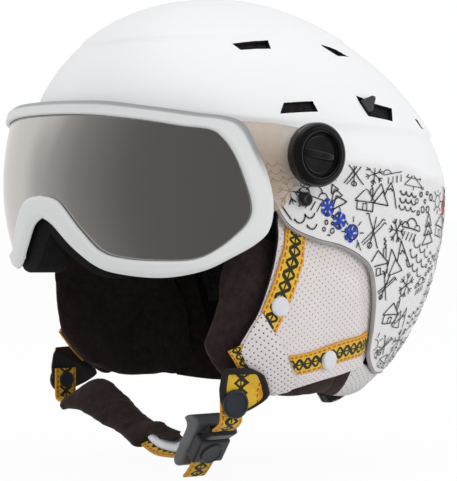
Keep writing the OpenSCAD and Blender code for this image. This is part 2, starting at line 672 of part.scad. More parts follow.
// Place on the frame for a column that runs all the way round it, w from outer to inner edge
function frame_uv(j, w) =
    let (u = j <= frame_cols ? j / frame_cols : 2 - j / frame_cols,
        p = mix(spline(FRAME_OUT, u), spline(FRAME_IN, u), w))
    j <= frame_cols ? p : [-p[0], p[1]];

module visor_frame() color("whitesmoke")
    tube([for (j = [0:2 * frame_cols - 1])
        [for (s = FRAME_SECTION)
            let (p = frame_uv(j, s[0]))
            lens_pt(p[0], p[1], s[1] * frame_t)]], closed = true);

// Strip of foam behind the lens over a run of the frame's columns, w from outer to inner edge,
// which deepens from the run's middle to its ends
module gasket(from, to, w0, w1, thick, end_thick) {
    back = -lens_wall - gasket_gap;
    function depth(j) =
        mix(thick, end_thick, ease((abs(2 * (j - from) / (to - from) - 1) - 0.3) / 0.55));
    function grid(inside) = [for (w = [w1, w0])
        [for (j = [from:to])
            let (p = frame_uv((j + 2 * frame_cols) % (2 * frame_cols), w))
            lens_pt(p[0], p[1], inside ? back - depth(j) : back)]];
    color("black") slab(grid(false), grid(true));
}

module brow_gasket() gasket(-9, 9, 0.3, 1.1, 2, 2);
module nose_gasket() gasket(frame_cols - 11, frame_cols + 11, 0.35, 0.9, 4.8, 16);

module pivot_base(side) on_side(side) color("black") difference() {
    union() {
        at_pivot(seat_x) cylinder(r = flange_r, h = flange_h);
        at_pivot(seat_x) cylinder(r = post_r, h = post_end_x - seat_x);
    }
    at_pivot(seat_x - 1) cylinder(r = stud_r + run_gap, h = post_end_x - seat_x + 2);
}

module pivot_stud(side) on_side(side) color("silver")
    at_pivot(side_x(pivot_y, pivot_z, -shell_wall)) cylinder(r = stud_r,
        h = knob_x + stud_grip - side_x(pivot_y, pivot_z, -shell_wall));

module pivot_knob(side) on_side(side) color("black") at_pivot(knob_x) difference() {
    rim_w = 5;
    face = knob_h - 2.2;
    union() {
        rotate_extrude() polygon([[0, 0], [knob_r, 0], [knob_r, knob_h - 2.6],
            [knob_r - 0.9, knob_h - 0.9], [knob_r - 2.2, knob_h], [knob_r - rim_w, knob_h],
            [knob_r - rim_w - 0.8, face], [0, face]]);
        rotate([0, 0, 100]) translate([-knob_r + rim_w + 1.4, -2.6, face - 0.5])
            cube([2 * (knob_r - rim_w - 1.4), 5.2, 2.4]);
    }
    translate([0, 0, -1]) cylinder(r = stud_r + run_gap, h = stud_grip + 1.3);
}

// Rubber stop on the shell under the visor's arm
stop_y = -1.2;
stop_z = -87.4;
stop_r = 4.2;
module stop_button(side) on_side(side) color("black")
    translate([side_x(stop_y, -belt_depth, 0) + seat_gap, stop_y, stop_z]) rotate([0, 90, 0]) {
        cylinder(r = stop_r, h = 2.4);
        translate([0, 0, 2.4]) cylinder(r1 = stop_r, r2 = stop_r - 1, h = 0.8);
    }

module vent_slider(side) on_side(side) color("dimgray")
    on_shell(slider_vent[0], slider_vent[1]) rotate([0, 0, slider_turn]) {
        stem = [6, 4.2];
        cap_z = 0.4;
        translate([-10.5, -1.6, -shell_wall + 0.2])
            cube([stem[0], stem[1], shell_wall + cap_z - 0.2]);
        hull() {
            translate([0, 0, cap_z]) linear_extrude(0.8)
                polygon([[-14.5, 2.6], [-10.5, -4.6], [-7, -3.4], [-4, 4.6]]);
            translate([-7.6, 3.4, cap_z + 3.6]) cube([2.6, 1.6, 0.6]);
        }
    }

module anchor_tab(side) {
    cols = 6;
    function place(r, k) =
        let (y = mix(r[1], r[2], k / cols))
        [anchor_x + max(0, y * TAB_SLOPE[0] + r[0] * TAB_SLOPE[1] - tab_flat),
            anchor_y + y, anchor_z + r[0]];
    function grid(off) = [for (r = TAB) [for (k = [0:cols]) place(r, k) + [off, 0, 0]]];
    on_side(side) color("black") difference() {
        slab(grid(tab_t), grid(0));
        translate([anchor_x - 1, anchor_y, anchor_z]) rotate([0, 90, 0])
            cylinder(r = rivet_r + run_gap, h = tab_t + 2);
    }
}

// Button outside the tab, its shaft through the tab and the eyelet, and its inner head
module anchor_rivet(side) on_side(side) color("slategray")
    translate([0, anchor_y, anchor_z]) rotate([0, 90, 0]) {
        head = anchor_x + tab_t + 0.4;
        foot = eyelet_x - seat_gap;
        translate([0, 0, foot]) cylinder(r = rivet_r, h = head - foot);
        translate([0, 0, foot - 1.5]) cylinder(r = rivet_r + 2, h = 1.5);
        translate([0, 0, head]) cylinder(r = button_r, h = 2.2);
        translate([0, 0, head + 2.2]) cylinder(r1 = button_r, r2 = button_r - 1.4, h = 1);
    }

module strap_eyelet(side) on_side(side) color("gray")
    translate([eyelet_x, anchor_y, anchor_z]) rotate([0, 90, 0]) difference() {
        union() {
            cylinder(r = eyelet_r, h = strap_t);
            translate([0, -eyelet_w / 2, 0]) cube([eyelet_drop, eyelet_w, strap_t]);
        }
        translate([0, 0, -1]) cylinder(r = rivet_r + run_gap, h = strap_t + 2);
    }

module strap_left() color("gold")
    tube([for (u = [0:0.125:1]) strap_ring(SIDE_STRAP, u, [0, 1, 0], strap_w / 2, strap_t / 2)]);

module strap_right() color("gold")
    tube([for (k = [0:32]) strap_ring(CHIN, k / 32,
        mix([0, 1, 0], chin_lean, ease(k / 10) * ease((36 - k) / 8)), strap_w / 2, strap_t / 2)]);

module chin_pad() {
    n = 12;
    steps = 14;
    function u(k) = mix(chin_pad_from, chin_pad_to, k / steps);
    function fat(k) = mix(0.55, 1, sqrt(max(0, 1 - pow(abs(2 * k / steps - 1), 4))));
    color("black") sleeve(
        [for (k = [0:steps]) strap_ring(CHIN, u(k), chin_lean, chin_pad_w / 2 * mix(0.8, 1, fat(k)),
            chin_pad_h / 2 * fat(k), n, 0.6)],
        [for (k = [0:steps]) strap_ring(CHIN, u(k), chin_lean, strap_w / 2 * 1.09 + seat_gap,
            strap_t / 2 * 1.3 + seat_gap, n, 0.35)]);
}

module chin_liner() color("white")
    tube([for (k = [0:6])
        [for (p = strap_ring(CHIN, mix(0.82, 0.98, k / 6), chin_lean, 6, 1.8, 8, 0.6))
            p + [0, 2, strap_t / 2 + 3.8]]]);

// Moves its children into the buckle's own coordinates
module at_buckle(p = [0, 0, 0]) {
    translate(buckle_at) rotate([0, buckle_tilt, 0]) translate(p) children();
}

// Block with rounded edges along Z
module block(size, r) {
    linear_extrude(size[2], center = true) hull()
        for (x = [-1, 1], y = [-1, 1]) translate([x * (size[0] / 2 - r), y * (size[1] / 2 - r)])
            circle(r, $fn = 16);
}

module buckle_body() color("darkslategray") at_buckle() difference() {
    block([buckle_t, buckle_w, buckle_l], 1.6);
    translate([-0.7, 0, -1]) rotate([0, 90, 0]) cylinder(r = badge_r + run_gap, h = buckle_t);
}

module buckle_button() color("slategray") at_buckle([1, 0, -1]) rotate([0, 90, 0]) {
    cylinder(r = badge_r, h = buckle_t / 2 - 0.4);
    translate([0, 0, buckle_t / 2 - 0.4]) cylinder(r1 = badge_r, r2 = badge_r - 0.6, h = 0.6);
}

module strap_keeper() {
    n = 12;
    stations = [0.62, 0.75, 0.88];
    across = [0, 1, 0];
    color("black") sleeve(
        [for (u = stations) strap_ring(SIDE_STRAP, u, across, strap_w / 2 + 2.6, 3.4, n, 0.5)],
        [for (u = stations) strap_ring(SIDE_STRAP, u, across, strap_w / 2 * 1.09 + seat_gap,
            strap_t / 2 * 1.3 + seat_gap, n, 0.35)]);
}

// Thick tongue behind the body, with a finger hood on its upper end
module buckle_tongue() color("dimgray")
    at_buckle([-buckle_t / 2 - seat_gap - tongue_t / 2, 0, (tongue_high - tongue_low) / 2]) {
        block([tongue_t, buckle_w + 1, tongue_high + tongue_low], 2.4);
        translate([0, 0, (tongue_high + tongue_low) / 2]) hull() {
            translate([0, 0, 1]) block([tongue_t, buckle_w - 3, 4], 2.4);
            translate([-7, 0, -3]) block([5, buckle_w - 8, 5], 2);
        }
    }

module strap_tail() color("gold") at_buckle()
    tube([for (u = [0:0.25:1]) strap_ring(TAIL, u, [0, 1, 0], strap_w / 2, strap_t / 2)]);

shell();
edge_trim();
foam_liner();
crown_pad();
brow_pad();
nape_pad();
nape_yoke();
dial_base();
lace_spool();
fit_dial();
ear_pad(1);  // ear_pad_left
ear_pad(-1);  // ear_pad_right
ear_cover(1);  // ear_cover_left
ear_cover(-1);  // ear_cover_right
ear_patch(1);  // ear_patch_left
ear_patch(-1);  // ear_patch_right
front_tape(1);  // front_tape_left
front_tape(-1);  // front_tape_right
rear_tape(1);  // rear_tape_left
rear_tape(-1);  // rear_tape_right
snaps(1);  // snaps_left
snaps(-1);  // snaps_right
neck_roll(1);  // neck_roll_left
neck_roll(-1);  // neck_roll_right
visor_lens();
visor_frame();
brow_gasket();
nose_gasket();
pivot_base(1);  // pivot_base_left
pivot_base(-1);  // pivot_base_right
pivot_stud(1);  // pivot_stud_left
pivot_stud(-1);  // pivot_stud_right
pivot_knob(1);  // pivot_knob_left
pivot_knob(-1);  // pivot_knob_right
stop_button(1);  // stop_button_left
stop_button(-1);  // stop_button_right
vent_slider(1);  // vent_slider_left
vent_slider(-1);  // vent_slider_right
anchor_tab(1);  // anchor_tab_left
anchor_tab(-1);  // anchor_tab_right
anchor_rivet(1);  // anchor_rivet_left
anchor_rivet(-1);  // anchor_rivet_right
strap_eyelet(1);  // strap_eyelet_left
strap_eyelet(-1);  // strap_eyelet_right
strap_left();
strap_right();
strap_keeper();
strap_tail();
buckle_body();
buckle_tongue();
buckle_button();
chin_pad();
chin_liner();
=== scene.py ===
"""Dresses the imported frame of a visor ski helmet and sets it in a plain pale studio.

Shapes are worked out in millimetres in the frame's own axes: +Z up, -Y to the front, +X to the
wearer's left. A place on the shell is an angle a, 0 at the front and 90 at the left, and a level
t, 1 at the crown, 0 at the widest section and negative on the skirt below it.
"""

import logging
import math
from dataclasses import dataclass, field
from enum import Enum
from typing import Any, Callable, Optional, Sequence, Union

import bmesh
import bpy
import numpy as np
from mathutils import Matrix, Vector


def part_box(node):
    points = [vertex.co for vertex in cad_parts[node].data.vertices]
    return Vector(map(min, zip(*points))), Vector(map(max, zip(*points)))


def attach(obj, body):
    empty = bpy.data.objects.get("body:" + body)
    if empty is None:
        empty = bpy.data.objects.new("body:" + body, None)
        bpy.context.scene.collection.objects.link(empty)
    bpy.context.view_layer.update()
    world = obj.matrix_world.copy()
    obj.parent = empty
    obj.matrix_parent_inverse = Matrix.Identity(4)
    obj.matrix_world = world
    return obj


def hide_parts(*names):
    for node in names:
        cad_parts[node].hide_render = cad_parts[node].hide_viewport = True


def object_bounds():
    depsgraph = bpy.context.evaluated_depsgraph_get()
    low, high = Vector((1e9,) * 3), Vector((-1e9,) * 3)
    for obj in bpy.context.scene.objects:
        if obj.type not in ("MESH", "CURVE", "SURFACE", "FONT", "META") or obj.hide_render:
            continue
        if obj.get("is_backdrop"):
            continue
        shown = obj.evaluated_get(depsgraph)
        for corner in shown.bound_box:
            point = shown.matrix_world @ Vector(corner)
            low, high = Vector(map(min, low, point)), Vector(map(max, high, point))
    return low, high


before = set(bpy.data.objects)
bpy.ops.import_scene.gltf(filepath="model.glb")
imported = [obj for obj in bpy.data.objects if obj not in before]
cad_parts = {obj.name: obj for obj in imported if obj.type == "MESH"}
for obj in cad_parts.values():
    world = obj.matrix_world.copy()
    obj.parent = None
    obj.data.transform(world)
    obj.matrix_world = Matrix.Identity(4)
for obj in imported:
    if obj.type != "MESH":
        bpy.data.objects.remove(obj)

LOG = logging.getLogger("helmet")
MM = 0.001
SEED = 7
FLIP = np.array([-1.0, 1.0, 1.0])
PIVOT = np.array([0.0, 0.0, -62.0])
PUFF_VOXEL = 3.0
PUFF_PRESSURE = 4.0
PUFF_FRAMES = 20
PUFF_REACH = 2.0
Array = np.ndarray
Faces = list[list[int]]
Colour = tuple[float, float, float]


class Side(Enum):
    """The two sides of the helmet, as the sign of X."""

    LEFT = 1
    RIGHT = -1

    @property
    def word(self) -> str:
        """The side's name in node and piece names."""
        return self.name.lower()


class Body(Enum):
    """The frame's bodies that pieces ride on."""

    HELMET = "helmet"
    VISOR = "visor"
    KNOB_LEFT = "knob_left"
    KNOB_RIGHT = "knob_right"
    STRAP = "chin_strap"
    RELEASE = "release"


def ease(x: Array) -> Array:
    """Smooth step: 3x^2 - 2x^3 with x held between 0 and 1."""
    k = np.clip(x, 0.0, 1.0)
    return k * k * (3 - 2 * k)


def mix(a: Any, b: Any, k: Any) -> Any:
    """The value a share k of the way from a to b."""
    return a + (b - a) * k


def unit(v: Array) -> Array:
    """The vectors in the last axis, each brought to length 1."""
    return v / np.linalg.norm(v, axis=-1, keepdims=True)


def spline(points: Sequence, u: Array) -> Array:
    """Smooth curve through points: on each span, the cubic that meets both ends with the slope
    of the chord between their neighbours.

    Args:
        points: the points that the curve passes through.
        u: places along it, from 0 to 1.

    Returns:
        The curve's points, one for each place.
    """
    p = np.asarray(points, float)
    last = len(p) - 1
    s = np.clip(np.asarray(u, float), 0, 1) * last
    i = np.minimum(s.astype(int), last - 1)
    k = (s - i)[..., None]
    a, b, c, d = p[np.maximum(i - 1, 0)], p[i], p[i + 1], p[np.minimum(i + 2, last)]
    bend = (2 * a - 5 * b + 4 * c - d) * k**2 / 2 + (3 * (b - c) + d - a) * k**3 / 2
    return b + (c - a) * k / 2 + bend


def bunched(n: int) -> Array:
    """n + 1 places from 0 to 1 that crowd towards both ends: (1 - cos(pi k)) / 2."""
    return (1 - np.cos(np.pi * np.arange(n + 1) / n)) / 2


def plump(u: Array, v: Array, edge: float) -> Array:
    """Roundness of a cushion: a quarter circle up from each edge over a share of its width.

    Args:
        u: places across, from 0 to 1.
        v: places along, from 0 to 1.
        edge: the share of each side that curves.

    Returns:
        0 at the edges and 1 over the middle.
    """
    a = np.clip(np.minimum(u, 1 - u) / edge, 0, 1)
    b = np.clip(np.minimum(v, 1 - v) / edge, 0, 1)
    return np.sqrt(np.maximum(0, 1 - (1 - a) ** 2)) * np.sqrt(np.maximum(0, 1 - (1 - b) ** 2))


def ripple(p: Array, size: float, seed: int = SEED) -> Array:
    """Soft irregular waves: the mean of six sines along fixed random directions.

    Args:
        p: points in millimetres.
        size: the waves' usual length in millimetres.
        seed: which set of directions.

    Returns:
        Values of about -1 to 1.
    """
    rng = np.random.default_rng(seed)
    way = unit(rng.normal(size=(6, 3))) * (2 * np.pi / size) * rng.uniform(0.6, 1.5, (6, 1))
    return np.sin(p @ way.T + rng.uniform(0, 6.28, 6)).mean(-1) * 2


def turns(n: int) -> Array:
    """n angles evenly round a circle, from 0."""
    return 2 * np.pi * np.arange(n) / n


def run_length(p: Array) -> Array:
    """Length along a line of points, up to each of them."""
    return np.concatenate([[0], np.cumsum(np.linalg.norm(np.diff(p, axis=0), axis=1))])


def superellipse(c: Array, s: Array, ahead: Any, aside: Any, power: float) -> Array:
    """Reach of a superellipse in the direction with cosine c and sine s: the r for which
    (r c / ahead)^power + (r s / aside)^power is 1."""
    return ((np.abs(c) / ahead) ** power + (np.abs(s) / aside) ** power) ** (-1 / power)


def placed(name: str, data: Any) -> bpy.types.Object:
    """A new object in the scene that holds the data."""
    made = bpy.data.objects.new(name, data)
    bpy.context.scene.collection.objects.link(made)
    return made


@dataclass
class Surface:
    """Points, faces and flat pattern places of one closed piece, in millimetres."""

    points: Array
    faces: Faces
    flat: Optional[Array] = None
    marks: dict[str, Array] = field(default_factory=dict)
    fronts: int = 0

    @staticmethod
    def _quads(rows: int, cols: int, base: int, wrap: bool, turn: bool) -> Faces:
        """Quads between the neighbours of a grid whose points start at base."""
        i, j = np.mgrid[0 : rows - 1, 0 : cols if wrap else cols - 1]
        k = (j + 1) % cols
        ring = [i * cols + j, i * cols + k, (i + 1) * cols + k, (i + 1) * cols + j]
        quads = np.stack(ring[::-1] if turn else ring, -1).reshape(-1, 4) + base
        return quads.tolist()

    @classmethod
    def wall(
        cls, outer: Array, inner: Array, wrap: bool = False, tips: bool = False, flat: Any = None
    ) -> "Surface":
        """Closed wall between two grids of points.

        Args:
            outer: rows by columns of the outer face.
            inner: the same of the inner face.
            wrap: joins the last column to the first.
            tips: closes the last row of each face on its middle, and leaves the wall's last
                row open between them.
            flat: rows by columns of pattern places, the same for both faces.

        Returns:
            The wall as a surface.
        """
        rows, cols = outer.shape[:2]
        n = rows * cols
        points = np.concatenate([outer.reshape(-1, 3), inner.reshape(-1, 3)])
        faces = cls._quads(rows, cols, 0, wrap, False) + cls._quads(rows, cols, n, wrap, True)
        span = range(cols if wrap else cols - 1)
        ends = [0] if tips else [0, rows - 1]
        for r in ends:
            for j in span:
                k = r * cols + j
                m = r * cols + (j + 1) % cols
                faces.append([k, m, n + m, n + k][:: -1 if r == 0 else 1])
        if not wrap:
            for c in (0, cols - 1):
                for i in range(rows - 1):
                    k = i * cols + c
                    m = k + cols
                    faces.append([k, m, n + m, n + k][:: 1 if c == 0 else -1])
        places = None if flat is None else np.concatenate([flat.reshape(-1, 2)] * 2)
        if tips:
            last = (rows - 1) * cols
            points = np.vstack([points, outer[-1].mean(0), inner[-1].mean(0)])
            for j in range(cols):
                faces.append([last + j, last + (j + 1) % cols, 2 * n])
                faces.append([n + last + (j + 1) % cols, n + last + j, 2 * n + 1])
            if places is not None:
                places = np.vstack([places, np.zeros((2, 2))])
        fronts = (rows - 1) * (cols if wrap else cols - 1)
        return cls(points, faces, places, fronts=fronts)

    @classmethod
    def tube(cls, rings: Array, closed: bool = False, flat: Any = None) -> "Surface":
        """Rings of points joined one after another, with flat ends or closed on itself.

        Args:
            rings: stations by ring points.
            closed: joins the last ring to the first.
            flat: pattern places, stations by ring points.

        Returns:
            The tube as a surface.
        """
        m, n = rings.shape[:2]
        i, j = np.mgrid[0 : m if closed else m - 1, 0:n]
        k, r = (j + 1) % n, (i + 1) % m
        faces = np.stack([i * n + j, i * n + k, r * n + k, r * n + j], -1).reshape(-1, 4).tolist()
        if not closed:
            faces += [list(range(n))[::-1], list(range((m - 1) * n, m * n))]
        places = None if flat is None else flat.reshape(-1, 2)
        return cls(rings.reshape(-1, 3), faces, places)

    @classmethod
    def turned(cls, profile: Sequence, at: "Place", steps: int = 64) -> "Surface":
        """A profile of radius against height turned about a place's outward line.

        Args:
            profile: radius and height pairs, which start and end at radius 0.
            at: the place and directions of the turned piece.
            steps: how many points each ring has.

        Returns:
            The turned piece as a surface.
        """
        p = np.asarray(profile, float)
        w = turns(steps)
        ring = np.stack([np.cos(w), np.sin(w)], -1)
        r, h = p[1:-1, 0], p[1:-1, 1]
        heights = np.broadcast_to(h[:, None, None], (len(r), steps, 1))
        body = cls.tube(at.out(np.concatenate([r[:, None, None] * ring, heights], -1)))
        body.faces = body.faces[:-2]
        tip = len(body.points)
        tips = at.out(np.array([[0, 0, p[0, 1]], [0, 0, p[-1, 1]]]))
        body.points = np.vstack([body.points, tips])
        last = (len(r) - 1) * steps
        for j in range(steps):
            k = (j + 1) % steps
            body.faces += [[k, j, tip], [last + j, last + k, tip + 1]]
        return body

    @classmethod
    def rod(
        cls, radius: float, middle: Sequence, ends: Sequence[float], steps: int = 48
    ) -> "Surface":
        """A round rod along X about a middle, from one distance from it to another."""
        w = turns(steps)
        ring = np.stack([0 * w, radius * np.cos(w), radius * np.sin(w)], -1) + middle
        return cls.tube(np.stack([ring + [end, 0, 0] for end in ends]))

    @classmethod
    def joined(cls, parts: "Sequence[Surface]") -> "Surface":
        """Several surfaces as one."""
        starts = np.cumsum([0] + [len(part.points) for part in parts])
        faces = [[k + start for k in f] for part, start in zip(parts, starts) for f in part.faces]
        return cls(np.vstack([part.points for part in parts]), faces)

    def mirrored(self, side: Side) -> "Surface":
        """The surface itself on the left, or its mirror image on the right."""
        if side is Side.RIGHT:
            self.points = self.points * FLIP
        return self


@dataclass(frozen=True)
class Place:
    """A place with its own directions: x, y and z, each of length 1."""

    at: Array
    x: Array
    y: Array
    z: Array

    @classmethod
    def facing(cls, at: Sequence, z: Sequence, x: Sequence) -> "Place":
        """The place whose outward line is z and whose x lies as near as it can to the given x."""
        n = unit(np.asarray(z, float))
        w = np.asarray(x, float)
        w = unit(w - n * (w @ n))
        return cls(np.asarray(at, float), w, np.cross(n, w), n)

    @classmethod
    def outward(cls, at: Sequence) -> "Place":
        """The place that faces the wearer's left, with x upward."""
        return cls.facing(at, (1, 0, 0), (0, 0, 1))

    def flipped(self) -> "Place":
        """The place's mirror image on the other side."""
        return Place(self.at * FLIP, self.x * FLIP, self.y * FLIP, self.z * FLIP)

    def out(self, p: Array) -> Array:
        """Points in the frame for points in the place's own directions."""
        return self.at + p[..., :1] * self.x + p[..., 1:2] * self.y + p[..., 2:3] * self.z

    def into(self, p: Array) -> Array:
        """Points in the place's own directions for points in the frame."""
        d = p - self.at
        return np.stack([d @ self.x, d @ self.y, d @ self.z], -1)


def math_node(operation: str, swap: bool = False) -> Callable[..., "Sock"]:
    """A method that adds a Math node.

    Args:
        operation: the node's operation.
        swap: puts the method's own socket last, as a reflected operator needs.

    Returns:
        The method, which takes the node's other values or links.
    """

    def method(self: "Sock", *others: Any) -> "Sock":
        """Adds the node on this socket and the others."""
        values = (*others, self) if swap else (self, *others)
        return self.tree.node("ShaderNodeMath", {"operation": operation}, dict(enumerate(values)))

    return method


class Sock:
    """A node's output in sums, where each operator adds the Math node that it needs."""

    __add__ = math_node("ADD")
    __radd__ = math_node("ADD", swap=True)
    __sub__ = math_node("SUBTRACT")
    __rsub__ = math_node("SUBTRACT", swap=True)
    __mul__ = math_node("MULTIPLY")
    __rmul__ = math_node("MULTIPLY", swap=True)
    __truediv__ = math_node("DIVIDE")
    __pow__ = math_node("POWER")
    __lt__ = math_node("LESS_THAN")
    __abs__ = math_node("ABSOLUTE")
    fract = math_node("FRACT")
    sine = math_node("SINE")
    low = math_node("MINIMUM")
    high = math_node("MAXIMUM")

    def __init__(self, tree: "Tree", out: bpy.types.NodeSocket) -> None:
        """Keeps the tree and the output."""
        self.tree = tree
        self.out = out

    def wave(self) -> "Sock":
        """A zigzag of self between 0 and 1, with a length of 1."""
        return abs(self.fract() * 2 - 1)

    def step(self, start: float, end: float) -> "Sock":
        """Smooth step of self from 0 at start to 1 at end."""
        return self.tree.node(
            "ShaderNodeMapRange",
            {"interpolation_type": "SMOOTHSTEP"},
            {"Value": self, "From Min": start, "From Max": end},
        )


class Tree:
    """A node tree of a material or the world, and the ways to add to it."""

    def __init__(self, holder: Union[bpy.types.Material, bpy.types.World]) -> None:
        """Empties the holder's node tree."""
        self.holder = holder
        holder.use_nodes = True
        self.nodes, self.links = holder.node_tree.nodes, holder.node_tree.links
        self.nodes.clear()

    def node(
        self,
        kind: str,
        settings: Optional[dict[str, Any]] = None,
        values: Optional[dict[Union[str, int], Any]] = None,
        out: Union[str, int] = 0,
    ) -> Optional[Sock]:
        """Adds any node.

        Args:
            kind: the node's type.
            settings: its own settings, set first; "stops" gives a colour ramp's stops.
            values: values or links of its sockets, by name or number.
            out: which output to return.

        Returns:
            That output, or None from a node that has no output.
        """
        made = self.nodes.new(kind)
        for key, value in (settings or {}).items():
            if key == "stops":
                self._stops(made.color_ramp, value)
            else:
                setattr(made, key, value)
        for key, value in (values or {}).items():
            socket = made.inputs[key]
            if isinstance(value, Sock):
                self.links.new(value.out, socket)
            else:
                socket.default_value = (*value, 1.0) if self._is_colour(socket, value) else value
        return Sock(self, made.outputs[out]) if len(made.outputs) else None

    @staticmethod
    def _is_colour(socket: bpy.types.NodeSocket, value: Any) -> bool:
        """True where three numbers go into a colour socket, which holds four."""
        return socket.type == "RGBA" and hasattr(value, "__len__") and len(value) == 3

    @staticmethod
    def _stops(ramp: bpy.types.ColorRamp, stops: Sequence) -> None:
        """Sets a colour ramp's stops from place and colour pairs."""
        while len(ramp.elements) < len(stops):
            ramp.elements.new(0.5)
        for element, (place, colour) in zip(ramp.elements, stops):
            element.position = place
            element.color = (*colour, 1.0)

    def object_place(self) -> Sock:
        """The surface's place in the frame, in metres."""
        return self.node("ShaderNodeTexCoord", out="Object")

    def pattern_place(self) -> tuple[Sock, Sock]:
        """The piece's own flat pattern place in millimetres, along and across."""
        place = self.node("ShaderNodeUVMap", {"uv_map": "pattern"})
        split = self.node("ShaderNodeSeparateXYZ", {}, {0: place})
        across = Sock(self, split.out.node.outputs[1])
        return split * 1000.0, across * 1000.0

    def mark(self, name: str) -> Sock:
        """A number that the piece's mesh holds at each point."""
        return self.node("ShaderNodeAttribute", {"attribute_name": name}, out="Fac")

    def noise(self, size: float, detail: float = 2.0, rough: float = 0.5) -> Sock:
        """Soft noise whose lumps are about size millimetres across."""
        return self.node(
            "ShaderNodeTexNoise",
            {},
            {
                "Vector": self.object_place(),
                "Scale": 1000.0 / size,
                "Detail": detail,
                "Roughness": rough,
            },
            "Fac",
        )

    def cells(self, size: float) -> Sock:
        """Distance from the middle of rounded cells that are about size millimetres across."""
        return self.node(
            "ShaderNodeTexVoronoi",
            {"feature": "SMOOTH_F1"},
            {"Vector": self.object_place(), "Scale": 1000.0 / size, "Smoothness": 0.5},
            "Distance",
        )

    def blend(self, share: Any, a: Any, b: Any) -> Sock:
        """The colour a share of the way from a to b."""
        made = self.node("ShaderNodeMix", {"data_type": "RGBA"}, {0: share, 6: a, 7: b})
        return Sock(self, made.out.node.outputs[2])

    def bump(self, height: Sock, depth: float) -> Sock:
        """The normal of a surface that rises by height times depth in millimetres."""
        return self.node(
            "ShaderNodeBump", {}, {"Height": height, "Strength": 1.0, "Distance": depth * MM}
        )

    def finish(self, **values: Any) -> bpy.types.Material:
        """Closes the tree on one Principled shader with these values or links."""
        named = {k.replace("_", " "): v for k, v in values.items()}
        shader = self.node("ShaderNodeBsdfPrincipled", {}, named)
        self.node("ShaderNodeOutputMaterial", {}, {"Surface": shader})
        return self.holder


@dataclass(frozen=True)
class Finish:
    """A finish, which makes its material once."""

    name: str
    slot: str

    def shade(self, tree: Tree) -> dict[str, Any]:
        """The values and links of the finish's shader."""
        raise NotImplementedError

    def material(self) -> bpy.types.Material:
        """The finish's material, made at its first use."""
        found = bpy.data.materials.get(self.name)
        if found is None:
            tree = Tree(bpy.data.materials.new(self.name))
            found = tree.finish(**self.shade(tree))
        return found


@dataclass(frozen=True)
class Moulded(Finish):
    """Moulded plastic or rubber with a fine texture and faint wear."""

    colour: Colour = (0.05, 0.05, 0.055)
    rough: float = 0.45
    grain: float = 0.6
    depth: float = 0.03
    coat: float = 0.0

    def shade(self, tree: Tree) -> dict[str, Any]:
        """Noise moves the colour and roughness a little; small cells dent the surface."""
        cloud = tree.noise(22.0, 3.0)
        pale = tuple(min(1.0, c * 1.25 + 0.012) for c in self.colour)
        return {
            "Base_Color": tree.blend(cloud.step(0.45, 0.8), self.colour, pale),
            "Roughness": self.rough + (cloud - 0.5) * 0.16,
            "Coat_Weight": self.coat,
            "Coat_Roughness": 0.08,
            "Normal": tree.bump(tree.cells(self.grain), self.depth),
        }


@dataclass(frozen=True)
class Lacquer(Finish):
    """White lacquer on the shell, a shade greyer and duller on its lower part, over a black
    inner face."""

    upper: Colour = (0.91, 0.91, 0.915)
    lower: Colour = (0.80, 0.785, 0.785)
    inside: Colour = (0.012, 0.011, 0.012)

    def shade(self, tree: Tree) -> dict[str, Any]:
        """The mesh's own marks say what is lower shell and what is its inner face; a faint
        orange peel dents the coat."""
        low, inner = tree.mark("lower"), tree.mark("inner").step(0.02, 0.12)
        cloud = tree.noise(30.0, 3.0)
        white = tree.blend(low, self.upper, self.lower)
        return {
            "Base_Color": tree.blend(inner, white, self.inside),
            "Roughness": 0.42 + low * 0.12 + (cloud - 0.5) * 0.08,
            "Coat_Weight": 0.18 - inner * 0.18,
            "Coat_Roughness": 0.16,
            "Normal": tree.bump(tree.noise(1.6, 2.0), 0.012),
        }


@dataclass(frozen=True)
class Fleece(Finish):
    """Short brushed fleece: a soft nap with a paler bloom at glancing angles."""

    dark: Colour = (0.011, 0.0075, 0.007)
    light: Colour = (0.036, 0.025, 0.023)
    bloom: Colour = (0.5, 0.38, 0.35)

    def shade(self, tree: Tree) -> dict[str, Any]:
        """Two noises, of the fibres and of the brushed nap, colour and dent the cloth."""
        fibre = tree.noise(0.55, 3.0, 0.7)
        nap = tree.noise(5.0, 4.0, 0.6)
        return {
            "Base_Color": tree.blend(
                (fibre * 0.6 + nap * 0.4).step(0.36, 0.66), self.dark, self.light
            ),
            "Roughness": 1.0,
            "Specular_IOR_Level": 0.1,
            "Sheen_Weight": 0.3,
            "Sheen_Roughness": 0.55,
            "Sheen_Tint": self.bloom,
            "Normal": tree.bump(fibre * 0.6 + nap * 1.6, 0.35),
        }


@dataclass(frozen=True)
class Perforated(Finish):
    """Pale grained synthetic leather with staggered rows of small holes."""

    colour: Colour = (0.68, 0.625, 0.615)
    pitch: float = 4.4
    hole: float = 0.085

    def shade(self, tree: Tree) -> dict[str, Any]:
        """A hole stands at the middle and the corners of each square of the flat pattern. The holes are
        coloured near black: partly the dark lining behind them, partly painted shade inside them.
        """
        u, v = tree.pattern_place()
        a, b = (u + v * 0.18) / self.pitch, (v - u * 0.18) / self.pitch

        def ring(shift: float) -> Sock:
            """Square of the distance from the nearest hole of one set."""
            x, y = (a + shift).fract() - 0.5, (b + shift).fract() - 0.5
            return x * x + y * y

        near = ring(0.0).low(ring(0.5)) ** 0.5
        # Where the holes are; below they take a near-black colour that is partly painted shade
        shaded_hole = 1 - near.step(self.hole * 0.8, self.hole * 1.25)
        lip = near.step(self.hole, self.hole * 2.6)
        grain = tree.cells(0.9)
        cloud = tree.noise(16.0, 3.0)
        skin = tree.blend(cloud, self.colour, tuple(c * 1.07 for c in self.colour))
        return {
            "Base_Color": tree.blend(shaded_hole, skin, (0.03, 0.028, 0.03)),
            "Roughness": 0.62 + shaded_hole * 0.3,
            "Normal": tree.bump(lip * 0.35 + grain * 0.08, 0.5),
        }


